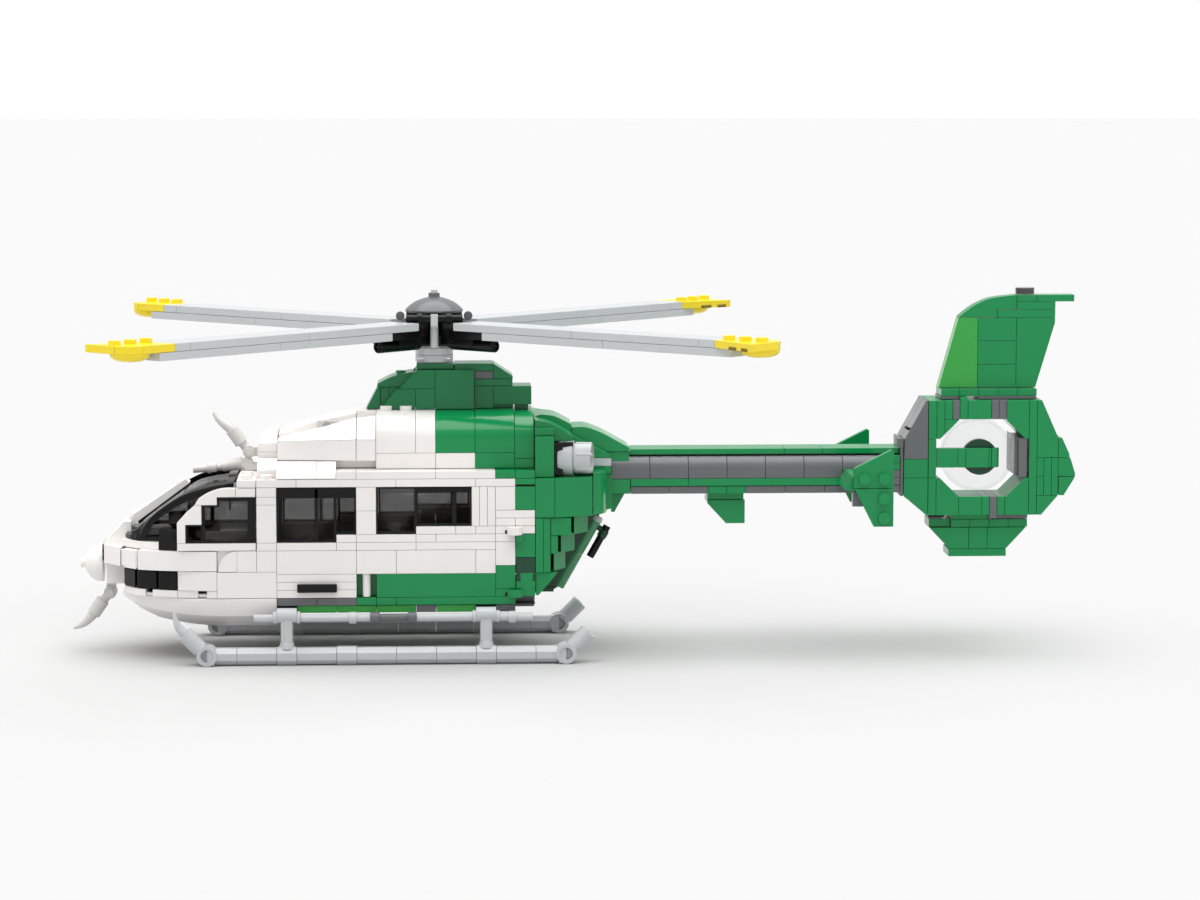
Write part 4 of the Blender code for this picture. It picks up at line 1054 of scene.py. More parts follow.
@dataclass
class CockpitDoor:
    """A front door with its curved post and stepped window, hinged at its front edge."""

    side: int
    inner: float = 32.0
    front: float = -23.85
    back: float = 7.7

    def build(self) -> None:
        """Lay the door and its window."""
        body = side_name("cockpit_door", self.side)
        front, back, top = self.front, self.back, EAVES - SEAM
        post = smooth_curve([(-15.0, 66.9), (-11.6, 69.0), (-7.1, 70.6), (-3.6, top)], 3)
        Bricks(side_name("cockpit_door_bricks", self.side), Colour.WHITE, body, (self.side,)).lay(
            [(self.inner, HALF_WIDTH, (45.75, 48.8, front, back), (67.4, top, -0.25, back))],
            [(self.inner, HALF_WIDTH,
              [(front, 48.8), (front, 57.1), (-19.9, 61.4), (-16.6, 64.2), (-13.9, 64.2), (-13.9, 56.3),
               (-20.4, 56.3), (-20.4, 48.8)],
              [(-16.6, 64.2), (-16.2, 65.3), *post, (-0.25, top), (-0.25, 67.4), (-7.7, 67.4),
               (-7.7, 64.2)])]).finish(body)
        bars = ((-14.4, -12.6, 48.8, 64.0), (4.4, 7.6, 48.8, 67.2), (-3.0, -2.2, 62.0, 67.2),
                (-12.6, 4.4, 65.6, 67.2))
        Window(COCKPIT_WINDOW, 33.9, body, (self.side,), bars=bars).build(
            body, side_name("cockpit_window", self.side))


@dataclass
class CabinWall:
    """The fixed side walls: sliding-door panel, aft wall, lower wall and edge plates."""

    hinge_x: float = 112.1
    recess_x: float = 52.0

    def build(self) -> None:
        """Lay the walls of both sides."""
        self.lay_mid_door()
        self.lay_aft_wall()
        self.lay_lower_wall()
        self.lay_sill()

    def hinge(self, wall: Bricks, foot: float, head: float) -> None:
        """Lay the clip that holds the rear door's bar."""
        wall.rod((self.hinge_x, 37.6, foot), (self.hinge_x, 37.6, head), 2.6)
        wall.block(self.hinge_x - 3.2, self.hinge_x, 35.6, 39.4, foot, head)

    def lay_mid_door(self) -> None:
        """The middle door with its handle and window."""
        out = HALF_WIDTH
        Bricks("mid_door_bricks", Colour.WHITE).lay([
            (INNER, out, (48.8, 52.0, 40, 48), (45.6, 48.8, 16, 40, 48), (36.0, 45.6, 16, 48),
             (32.8, 36.0, 16, 48), (29.6, 32.8, 16, 48), (26.4, 29.6, 16, 48))]).finish(*pair("mid_door"))
        Bricks("mid_door_handle", Colour.BLACK, edge=0.3).lay([
            (out, out + 2.4, (28.8, 32.3, 24.1, 40.2)),
            (out - 1, out, (29.2, 31.9, 25.5, 29.0), (29.2, 31.9, 35.5, 39.0))]).finish()
        Window(MID_WINDOW, bars=((31.2, 32.8, 48.8, 71.2), (16.0, 48.0, 66.6, 71.2),
                                 (38.9, 40.2, 48.8, 66.6))).build("mid_window", *pair("mid_window"))

    def lay_aft_wall(self) -> None:
        """The white wall behind the door, with its upright plates and the clip."""
        wall = Bricks("aft_wall_bricks", Colour.WHITE)
        wall.wall(INNER, HALF_WIDTH, [
            (61.6, 71.2, 48, 56), (52.0, 61.6, 48, 56), (52.0, 55.2, 72, 88, 96, 104, 112, 119.9),
            (48.8, 52.0, 48, 72, 80, 104, 112), (45.6, 48.8, 48, 72, 104), (39.2, 48.8, 104, 112),
            (36.0, 45.6, 48, 64, 96, 104), (61.6, 71.2, 104, 112), (58.4, 61.6, 104, 119.9),
            (55.2, 58.4, 104, 112, 119.9), (55.2, 71.2, 94.4, 97.6, 100.8, 104)])
        self.hinge(wall, 51.8, 55.0)
        wall.finish(*pair("side_wall"))
        Window(AFT_WINDOW, bars=((71.2, 72.8, 52.0, 71.2), (72.8, 94.4, 68.6, 71.2),
                                 (86.4, 88.4, 55.2, 68.6))).build("aft_window", *pair("aft_window"))

    def lay_lower_wall(self) -> None:
        """The green wall under it, with the recess, its bar and the door's lower clip."""
        wall = Bricks("lower_wall_bricks", Colour.GREEN).lay([
            (INNER, HALF_WIDTH, (26.4, 36.0, 56, 104), (29.6, 39.2, 104, 112), (26.4, 29.6, 104, 112),
             (23.3, 26.4, 48, 56, 64, 112)),
            (INNER, INNER + 2.5, (26.4, 36.0, 48, 56))])
        self.hinge(wall, 26.5, 29.5)
        wall.finish(*pair("lower_wall"))
        x = self.recess_x
        Bricks("recess_bar", Colour.WHITE).lay(rods=[((x, 33.6, 26.6), (x, 33.6, 35.9), BAR)]).finish()

    def lay_sill(self) -> None:
        """The coloured plates under the walls."""
        low, high, out = 20.2, 23.2, HALF_WIDTH
        Bricks("sill_grey", Colour.DARK_GREY).lay([
            (INNER, out, (high, 26.3, 16, 32, 48)),
            (20, out - 0.8, (low, high, 72, 80), (low, high, 104, 112))]).finish()
        Bricks("sill_bright_green", Colour.LIME).lay([
            (20, out - 0.8, (low, high, 24, 40, 56, 72), (low, high, 80, 96))]).finish()
        Bricks("sill_black", Colour.BLACK).lay([
            (20, out - 1.6, (low, high, 16, 24), (low, high, 96, 104)),
            (out - 0.5, out + 0.12, (26.7, 28.3, 107.7, 108.7), (52.0, 53.6, 107.7, 108.7))]).finish()


@dataclass
class Cabin:
    """Floor, seats, cockpit tray and roof."""

    seat_rows: tuple[float, ...] = (60.0, 88.0)
    seat_places: tuple[float, ...] = (-14.5, 0.0, 14.5)
    beams: tuple[float, ...] = (20.0, 100.0)

    def build(self) -> None:
        """Lay the inside and the roof."""
        self.lay_floor()
        self.lay_cockpit()
        self.lay_roof()

    def lay_floor(self) -> None:
        """The plates of the floor, the strut beams and two rows of seats."""
        joints, seat, back = (16, 40, 72, 104, 120), level(11), level(17)
        floor = Bricks("cabin_floor", Colour.DARK_GREY, sides=MIDDLE).lay([
            (-20, 20, (level(6), level(7), *joints)), (-27.7, 27.7, (level(7), SILL, *joints)),
            *((*sorted((20 * side, (HALF_WIDTH - 1.7) * side)), (level(6) + 2.9, level(7), *joints))
              for side in BOTH),
            (-35.6, 35.6, *((16.7, level(6), x - 4, x + 4) for x in self.beams))])
        for x in self.seat_rows:
            for y in self.seat_places:
                floor.lay([(y - 6.8, y + 6.8, (SILL, seat, x, x + 13))],
                          [(y - 6.8, y + 6.8, [(x + 9.5, seat), (x + 12, back), (x + 14, back),
                                               (x + 13, seat)])])
                floor.studs([(x + 3, y - 3.9, seat), (x + 3, y + 3.9, seat)])
        floor.finish("floor")

    def lay_cockpit(self) -> None:
        """Pilot seats, instrument panel and sticks."""
        seat, back = level(11), level(18)
        tray = Bricks("cockpit_seats", Colour.DARK_GREY).lay(
            [(0.0, 19.9, (23.6, 27.3, -27.8, 14)), (3, 17, (27.3, seat, -6, 8)),
             (6, 14, (back, level(19.5), 8.4, 11.4))],
            [(3, 17, [(5, seat), (8.5, seat), (12.2, back), (9, back)])])
        tray.studs([(-2, 6, seat), (-2, 14, seat)])
        tray.across().prism([(-27.9, SILL), (-27.9, 44), (-24, 46), (-21, 44), (-23, SILL)], "XZ", -18, 18)
        tray.finish("cockpit_interior")
        Bricks("control_sticks", Colour.BLACK).lay(rods=[
            ((-10, 10, 27.5), (-13, 10, 40), 1.2), ((-13, 10, 40), (-12.6, 10, 44), 1.7)]).finish()

    def lay_roof(self) -> None:
        """The roof plates with their edge tiles."""
        low, high, out = 71.2, 74.4, HALF_WIDTH
        roof = Bricks("roof_plates", Colour.WHITE).lay([
            (12, out, (low, high, 8, 24, 64, 96, 112)), (0, 12, (low, high, 0.15, 40, 80, 112)),
            (12, 28, (low, high, 0.15, 8)), (28, out, (low, 74.3, 0.2, 7.9)),
            (22, out, (high, 77.6, 40, 48, 80, 104)), (0, 22, (high, 77.6, 8, 40, 72, 104)),
            (22, 29.5, (high, 77.6, 8.1, 16))])
        roof.studs([(4.0, 32.0, 74.3), (4.0, 20.0, high), (12.0, 32.6, high)])
        tile = [(out, 74.5), (out, 75.0), (INNER + 0.2, 80.8), (INNER - 3, 80.8), (INNER - 3, 74.5)]
        wedge = [(28.8, 77.6), (22, 81.8), (22, 77.6)]
        for outline, start, end in ((tile, 16, 32), (tile, 32, 40), (wedge, 8.1, 16)):
            roof.prism(outline, "YZ", start, end)
        roof.finish("roof")


@dataclass
class Cowls:
    """White front cowl with its wedges, and the round-shouldered cowls behind it."""

    flat: float = 12.5
    foot: float = 77.7
    shoulder_foot: float = 84.0
    pin: Flat = (36.0, 94.0)

    def build(self) -> None:
        """Lay both cowls."""
        self.lay_front()
        self.lay_rear()

    def ring(self, x: float, low: float, high: float, foot: float, head: float) -> list[Point]:
        """A cross-section with straight flanks."""
        return [(x, -foot, low), (x, -head, high), (x, head, high), (x, foot, low)]

    def shoulder(self) -> list[Flat]:
        """The cross-section of the upper cowl, in Y and Z."""
        left = [(-INNER, self.shoulder_foot),
                *arc((-self.flat, 90.0), INNER - self.flat, 10.0, 180, 90, 9)]
        return left + [(-y, z) for y, z in reversed(left)]

    def low_shoulder(self) -> list[Flat]:
        """The last cowl's cross-section, with a lower crown and a lower foot."""
        deck = 81.6
        drops = ((y, z, 0.6 if z > 95 else 2.4 if z < 85 else 0.0) for y, z in self.shoulder())
        return [(y, max(deck, z - drop)) for y, z, drop in drops]

    def lay_front(self) -> None:
        """The white cowl in front, with the wedge on each side and the round-topped ridge."""
        cowl = Bricks("cowl_front_bricks", Colour.WHITE, sides=MIDDLE)
        for start, end, first, last in (
                (8.1, 15.9, (77.75, 80.7, 20, 20), (77.75, 80.7, 20.5, 20.5)),
                (8.1, 15.9, (80.8, 83.9, 20, 20), (80.8, 83.9, 20.5, 20.5)),
                (8.1, 15.9, (84.0, 87.1, 20, 20), (84.0, 87.1, 20.5, 20.5)),
                (8.1, 15.9, (87.3, 88.2, 19.5, 17.0), (87.3, 92.6, 20, 13.0)),
                (16.1, 47.9, (81.0, 88.4, 24.0, 22.4), (81.0, 89.4, 27.4, 27.0)),
                (48.1, 55.9, (81.0, 89.4, 27.4, 27.0), (81.0, 89.4, 27.9, 27.6)),
                (16.1, 47.9, (88.5, 88.9, 22.4, 21.6), (89.5, 97.2, 27.0, 15.0)),
                (48.1, 55.9, (89.5, 97.2, 27.0, 15.0), (89.5, 98.0, 27.6, 16.5))):
            cowl.loft([self.ring(start, *first), self.ring(end, *last)])
        ridge = smooth_curve([(16.2, 90.8), (24, 93.4), (34, 96.2), (47.9, 98.8)], 3)
        cowl.lay([(-23.4, 23.4, (self.foot, 81.0, 16, 56)), (-12, 12, (96.0, 99.8, 48, 56)),
                  (-INNER, INNER, (self.foot, self.shoulder_foot, 56, 80, 96))],
                 [(-11.8, 11.8, [*ridge, (47.9, 86.0), (16.2, 86.0)])])
        for start, end in ((56, 72), (72, 80)):
            cowl.prism(self.shoulder(), "YZ", start, end)
        cowl.studs([(x, y, 100.0) for x in (60.0, 68.0) for y in (-12.0, 12.0)])
        self.lay_pin()
        cowl.finish("cowl_front")

    def lay_pin(self) -> None:
        """The block with the bored pin on each flank, and a black plug that paints the shade in its bore."""
        x, z = self.pin
        # The pin blocks use the white darkened by painted shade.
        pin = Bricks("cowl_pin_blocks", Colour.PAINTED_SHADE_WHITE).lay([(11.8, 14.0, (91.8, 96.0, 32, 40))])
        pin.pipe((x, 10.0, z), (x, 14.9, z), 2.3, 1.5, 3.0)
        pin.finish()
        # Black plug deep in the bore: painted shade.
        Bricks("cowl_bore_painted_shade", Colour.BLACK).lay(rods=[((x, 11.6, z), (x, 12.6, z), 1.45)]).finish()

    def lay_rear(self) -> None:
        """The green cowl behind it."""
        cowl = Bricks("cowl_rear_bricks", Colour.GREEN, sides=MIDDLE).lay([
            (-INNER, INNER, (self.foot, self.shoulder_foot, 96, 112), (self.foot, 81.6, 112, 119.8)),
            (-HALF_WIDTH, HALF_WIDTH, (74.5, 77.6, 104, 112))])
        for outline, start, end in ((self.shoulder(), 80, 96), (self.shoulder(), 96, 112),
                                    (self.low_shoulder(), 112, 119.8)):
            cowl.prism(outline, "YZ", start, end)
        cowl.finish("cowl_rear")


@dataclass
class Pylon:
    """The stepped housing under the rotor."""

    base: float = 100.15

    def build(self) -> None:
        """Lay the core, the cheeks and the small parts."""
        base = self.base
        top = smooth_curve([(56.4, 110.4), (61.3, 112.9), (66.0, 114.4), (71.4, 115.3)], 3)
        pylon = Bricks("pylon_bricks", Colour.PYLON_GREEN).lay(
            [(8.0, 11.2, (base, 108.5, 72, 80), (base, 116.2, 80, 96))],
            [(8.0, 11.2, [(57.6, base), (64.2, 108.5), (72.0, 108.5), (72.0, base)],
              [(65.4, 108.5), (72.3, 116.2), (80.0, 116.2), (80.0, 108.5)])])
        middle = pylon.across().lay(
            [(-7.4, 7.4, (base, 108.9, 57.6, 61.4)), (-7.9, 7.9, (base, 109.0, 61.4, 72.0)),
             (-8, 8, (base, 116.2, 72.0, 96.0), (116.3, 118.6, 72.4, 87.6), (115.4, 118.6, 88.0, 103.8),
              (109.3, 112.2, 96.0, 111.7), (base, 109.3, 96.0, 103.8), (101.6, 109.3, 103.8, 119.4)),
             (-4, 4, (99.2, 101.6, 112.6, 118.2)), (-6, 6, (base, 101.6, 97.0, 112.0))],
            [(-8, 8, [(51.8, base), (56.4, 108.9), (57.6, 108.9), (57.6, base)],
              [(56.4, 109.0), *top, (71.4, 109.0)],
              [(103.8, 118.6), (111.8, 113.4), (111.8, 112.2), (103.8, 112.2)])])
        middle.studs([(66.0, 0, 114.6)], (0, 0, 1), 2.0, 0.6)
        pylon.finish("pylon")
        Bricks("pylon_core", Colour.BLACK, sides=MIDDLE).lay([
            (-10.6, 10.6, (101.0, 108.0, 66.0, 94.0)), (-7.4, 7.4, (108.0, 118.2, 74.0, 100.0))]).finish()
        Bricks("pylon_grey_patch", Colour.DARK_GREY, sides=MIDDLE).lay([
            (-7.6, 7.6, (112.2, 115.4, 96.0, 103.8))]).finish()
        Bricks("pylon_clear_bits", Colour.CLEAR, sides=MIDDLE).lay(rods=[
            ((x, -3.6, 100.8), (x, 3.6, 100.8), 0.9, None, 12) for x in (110.6, 119.0)]).finish()


@dataclass
class MainRotor:
    """Mast, hub, dome and four blades with studded tips."""

    tip_start: float = 152.5
    tip_end: float = 176.5
    half: float = 7.85
    mast_radius: float = 7.75
    link_z: float = 137.2
    link_y: float = 12.4
    cap_z: float = 139.35

    def build(self) -> None:
        """Lay the mast and all that turns."""
        self.lay_mast()
        self.lay_hub()
        self.lay_hub_parts()
        self.lay_blades()
        self.lay_tips()

    def radial(self, piece: Bricks, half: float, *boxes: tuple[float, ...]) -> None:
        """Lay boxes along the first blade, each by its two distances from the hub and its heights."""
        for start, end, low, high in boxes:
            piece.block(HUB_X + start, HUB_X + end, -half, half, BLADE_SEAM_Z + low, BLADE_SEAM_Z + high)

    def wheel(self, piece: Bricks, name: str) -> Bricks:
        """Repeat a part on each of the four blades, as a piece with a name of its own."""
        wheel = piece.wheeled(4, FIRST_BLADE, (HUB_X, 0, BLADE_SEAM_Z))
        wheel.name = name
        return wheel

    def slice(self, start: float, end: float) -> list[Flat]:
        """The mast's round plan between two distances from its middle, in X and Y."""
        angles = [math.acos(max(-1.0, min(1.0, (start + (end - start) * i / 8) / self.mast_radius)))
                  for i in range(9)]
        front = [(HUB_X + self.mast_radius * math.cos(a), -self.mast_radius * math.sin(a)) for a in angles]
        back = [(x, -y) for x, y in reversed(front) if abs(y) > 0.01]
        return front + back

    def lay_mast(self) -> None:
        """The fixed round mast with the two slots through it."""
        radius = self.mast_radius
        mast = Bricks("mast_rings", Colour.LIGHT_GREY, sides=MIDDLE).lay(rods=[
            ((HUB_X, 0, low), (HUB_X, 0, high), radius - step) for low, high, step in (
                (118.95, 119.4, 0.0), (120.5, 121.7, 0.0), (121.6, 122.0, 0.4), (121.95, 124.8, 0.0))])
        for start, end in ((-4.4, 4.4), (6.5, radius), (-radius, -6.5)):
            mast.prism(self.slice(start, end), "XY", 119.3, 120.6, 0.0)
        mast.finish("mast")

    def lay_hub(self) -> None:
        """The black hub with its arms, bored tubes and link bars."""
        arm = Bricks("hub_arm", Colour.BLACK, "rotor", MIDDLE)
        for half, *box in ((4.0, 5.0, 17.3, -3.2, -0.1), (7.4, 17.0, 33.0, -3.2, -0.1),
                           (3.2, 5.0, 24.0, -6.2, -3.2), (3.9, 4.0, 8.2, -2.8, 3.6)):
            self.radial(arm, half, box)
        axle = BLADE_SEAM_Z - 5.9
        for start, end, radius in ((10.0, 22.3, 2.55), (22.2, 22.8, 2.2)):
            arm.rod((HUB_X + start, 0, axle), (HUB_X + end, 0, axle), radius)
        arm.pipe((HUB_X + 22.7, 0, axle), (HUB_X + 33.5, 0, axle), 2.55, 1.9, 3.0)
        for y, z in ((0.45, 1.9), (1.9, 0.45)):
            arm.block(HUB_X + 30.0, HUB_X + 33.1, -y, y, axle - z, axle + z, 0.0)
        arms = self.wheel(arm, "hub_bricks")
        arms.rod((HUB_X, 0, 125.4), (HUB_X, 0, 139.1), 6.0)
        arms.block(HUB_X - 6.6, HUB_X + 6.6, -6.6, 6.6, 125.4, 131.0)
        for y in (-self.link_y, self.link_y):
            for start, end, radius in ((-11.5, 11.5, BAR), (-7.0, -4.8, 2.2), (4.8, 7.0, 2.2)):
                arms.rod((HUB_X + start, y, self.link_z), (HUB_X + end, y, self.link_z), radius, None, 16)
        arms.finish("rotor_hub")

    def lay_hub_parts(self) -> None:
        """The grey plate and clips on the hub, the dome and its knob."""
        x = HUB_X
        ends = [((x + way, -1.2, 137.6), (x + way, 1.2, 137.6), 1.8, None, 20) for way in (-13.9, 13.9)]
        Bricks("hub_plate", Colour.DARK_GREY, "rotor", MIDDLE).lay(
            rods=[((x, 0, 132.4), (x, 0, 134.5), 6.9), *ends]).finish()
        Bricks("hub_clip", Colour.LIGHT_GREY, "rotor", BOTH).lay(
            [(8.6, 14.4, (133.6, 134.9, x - 1.3, x + 1.3)), (13.9, 15.7, (134.3, 139.3, x - 1.5, x + 1.5))],
            rods=[((x, 9.6, 125.2), (x, 9.6, 134.2), BAR)]).finish()
        dome = Bricks("hub_dome", Colour.DARK_GREY, "rotor", MIDDLE, 0.12)
        dome.turned([(0, 0), (11.7, 0), (11.9, 0.6), *arc((0, -6.7), 14.7, 12.75, 36, 80, 9), (2.35, 6.0),
                     (2.35, 7.6), (0, 7.6)], (x, 0, self.cap_z), (0, 0, 1), 48)
        dome.finish("rotor_cap")
        Bricks("dome_knob", Colour.LIGHT_GREY, "rotor", MIDDLE).lay(
            rods=[((x, 0, 146.9), (x, 0, 148.3), 1.4)]).finish()

    def lay_blades(self) -> None:
        """The four blades of two layers of plates."""
        blade = Bricks("blade", Colour.LIGHT_GREY, "rotor", MIDDLE)
        self.radial(blade, self.half, (17.5, 80.5, 0.0, PLATE), (80.5, 144.5, 0.0, PLATE),
                    (144.5, self.tip_start, 0.0, PLATE), (33.0, 96.5, -PLATE, 0.0),
                    (96.5, self.tip_start + STUD, -PLATE, 0.0))
        self.wheel(blade, "blade_plates").finish(*(f"blade_{i}" for i in range(1, 5)))

    def lay_tips(self) -> None:
        """The wedge plates with one round corner, the dish under each, and painted shade in the wedge's
        notches.
        """
        low, high, half = BLADE_SEAM_Z, BLADE_SEAM_Z + PLATE, self.half
        start, end = HUB_X + self.tip_start, HUB_X + self.tip_end
        bend = end - STUD
        tip = Bricks("tip", Colour.YELLOW, "rotor", MIDDLE)
        tip.prism([(start, -half), (end, -2 * STUD), (end, 0.0), (bend, 0.0), (bend, half), (start, half)],
                  "XY", low, high)
        tip.prism([(bend, 0.0), *arc((bend, 0.0), half, half, 0, 90, 8)], "XY", low, high)
        tip.turned([(0, 0.4), (7.6, 0.3), (7.6, -0.8), (7.2, -1.5), (6.2, -2.3), (4.6, -2.9), (2.4, -3.2),
                    (0, -3.2)], (bend, 0, low), (0, 0, 1), 32)
        tip.studs([(end - STUD * (i + 0.5), -STUD / 2, high) for i in range(3)])
        self.wheel(tip, "blade_tips").finish(*(f"blade_tip_{i}" for i in range(1, 5)))
        # Thin dark yellow slabs at the wedge's edge paint the shade in its notches.
        notch = Bricks("notch", Colour.NOTCH_PAINTED_SHADE, "rotor", MIDDLE, 0.0)
        slope = (2 * STUD - half) / (3 * STUD)
        for stretch in ((161.8, 166.8), (170.0, 174.0)):
            edges = [(HUB_X + u, -half - (u - self.tip_start) * slope - 0.02) for u in stretch]
            notch.prism([*edges, *((x, y + 1.0) for x, y in reversed(edges))], "XY", low + 0.02, low + 1.3,
                        0.0)
        self.wheel(notch, "tip_notch_painted_shade").finish()


@dataclass
class RearBody:
    """The fixed green body above the doors, with exhausts, boom root and middle post."""

    exhaust_y: float = 24.0
    exhaust_z: float = 81.4
    splay: float = 0.17

    def build(self) -> None:
        """Lay the body, the exhausts and the post."""
        self.lay_body()
        self.lay_exhausts()
        self.lay_post()

    def lay_body(self) -> None:
        """Columns, round corner and the tiers over the boom's root."""
        deck = smooth_curve([(120.1, 97.3), (126.0, 96.0), (131.0, 93.6), (135.8, 90.4)], 3)
        crown = smooth_curve([(123.1, 98.0), (128.9, 97.2), (135.6, 93.8)], 3)
        root = smooth_curve([(135.7, 92.5), (141.5, 92.6), (148.0, 90.3), (154.0, 87.0), (159.2, 84.2)], 3)
        body = Bricks("rear_body_bricks", Colour.GREEN).lay(
            [(INNER, HALF_WIDTH, (61.6, 71.2, 112, 120), (71.9, 74.4, 112, 120), (74.4, 77.6, 112, 120),
              (58.4, 74.4, 120, 127.9)),
             (12.0, 16.0, (73.8, 77.0, 144.2, 151.7))],
            [(12.0, 16.0, [(135.9, 77.0), (135.9, 89.8), (151.6, 81.6), (151.6, 80.3), (144.2, 80.3),
                           (144.2, 77.0)]),
             (12.0, 27.0, [(120.1, 91.0), *deck, (135.8, 88.4), (127.9, 88.4), (127.9, 91.0)])])
        bend = smooth_curve([(144.6, 29.0), (147.4, 26.4), (149.0, 22.6), (149.6, 18.0)], 3)
        for low, high, *plan in (
                (74.5, 91.0, (120.0, 33.6), (127.8, 32.4), (127.8, 22.0), (120.0, 22.0)),
                (91.0, 94.2, (120.0, 30.6), (127.8, 29.2), (127.8, 16.0), (120.0, 16.0)),
                (58.4, 74.4, (127.9, 36.0), (131.0, 35.4), (136.0, 33.4), (143.4, 30.0), (143.4, 12.0),
                 (127.9, 12.0)),
                (58.6, 75.8, (143.6, 29.9), *bend, (149.6, 0.0), (143.6, 0.0))):
            body.prism(plan, "XY", low, high)
        body.across().lay(
            [(-10.6, 10.6, (74.6, 82.4, 135.7, 159.2))],
            [(-14, 14, [(149.6, 58.6), (149.6, 73.4), (152.0, 73.4), (152.0, 59.4)]),
             (-7.6, 7.6, [(152.0, 64.6), (157.6, 64.6), (153.4, 57.0), (152.0, 57.0)]),
             (-12, 12, [(120.2, 74.5), (120.2, 97.2), *crown, (135.6, 74.5)]),
             (-11.2, 11.2, [(135.7, 82.4), *root, (159.2, 82.4)])])
        body.finish("rear_body")
        # Grey tiles given the light grey plastic: partly their own grey, partly a painted highlight.
        Bricks("boom_root_tiles", Colour.LIGHT_GREY).lay([(12.0, 16.0, (77.0, 80.3, 144.2, 151.7))]).finish()
        Bricks("exhaust_shadow", Colour.BLACK).lay([
            (12.0, 30.6, (75.0, 88.2, 127.9, 131.4)), (16.0, 30.0, (86.2, 88.3, 131.4, 135.6)),
            (INNER + 0.5, HALF_WIDTH - 0.6, (71.2, 71.9, 112, 119.9))]).finish()

    def lay_exhausts(self) -> None:
        """The two exhausts: a barrel and a ribbed nozzle with an open end, with painted shade in the bore."""
        y, z, splay = self.exhaust_y, self.exhaust_z, self.splay
        pipe = Bricks("exhaust_nozzles", Colour.LIGHT_GREY)
        pipe.turned([(0, 0), (7.2, 0), (7.4, 0.4), (7.4, 5.6), (7.1, 5.9), (5.9, 5.9), (5.9, 6.4), (6.3, 6.6),
                     (6.4, 13.0), (6.1, 13.4), (5.1, 13.4), (4.8, 3.0), (0, 3.0)], (130.2, y, z),
                    (1, splay, 0), 40)
        for turn in range(20, 380, 60):
            a = math.radians(turn)
            foot, spot = y + 6.0 * math.cos(a), z + 6.0 * math.sin(a)
            pipe.rod((136.8, foot + splay * 6.6, spot), (143.2, foot + splay * 13.0, spot), 0.75, None, 8)
        pipe.finish(*pair("exhaust"))
        # Black rod inside each nozzle: painted shade in its bore.
        Bricks("exhaust_bore_painted_shade", Colour.BLACK).lay(rods=[
            ((133.2, y + splay * 3.0, z), (139.5, y + splay * 9.3, z), 4.5)]).finish()

    def lay_post(self) -> None:
        """The post between the rear doors, with its round bar and the catch."""
        Bricks("rear_post_bricks", Colour.DARK_GREEN, sides=MIDDLE).lay(
            [(-2.6, 2.6, (23.4, 25.6, 120.3, 128.6))],
            [(-1.8, 1.8, [(122.0, 26.7), (128.0, 34.0), (134.0, 42.0), (141.0, 56.0), (142.5, 58.0),
                          (148.0, 58.0), (148.0, 56.0), (145.4, 51.6), (130.4, 25.4), (128.6, 24.2),
                          (122.0, 24.2)])],
            [((123.9, -2.9, 27.3), (123.9, 2.9, 27.3), 2.7),
             ((149.8, 0, 48.6), (148.2, 0, 45.8), 2.0, None, 16),
             ((146.0, 0, 50.4), (149.4, 0, 48.4), 1.2, None, 16)]).finish("rear_post")
        # The round bar's green is lightened by a painted sheen.
        for name, colour, *rods in (
                ("rear_post_bar", Colour.PAINTED_SHEEN_GREEN, ((146.2, 0, 53.0), (138.6, 0, 39.6), 2.3),
                 ((138.5, 0, 39.4), (130.6, 0, 25.4), 2.3)),
                ("rear_post_bar_end", Colour.LIGHT_GREY, ((146.0, 0, 52.7), (147.1, 0, 54.6), 2.7, 2.2)),
                ("rear_catch", Colour.BLACK, ((150.8, 0, 50.4), (143.6, 0, 37.6), BAR))):
            Bricks(name, colour, sides=MIDDLE).lay(rods=rods).finish()


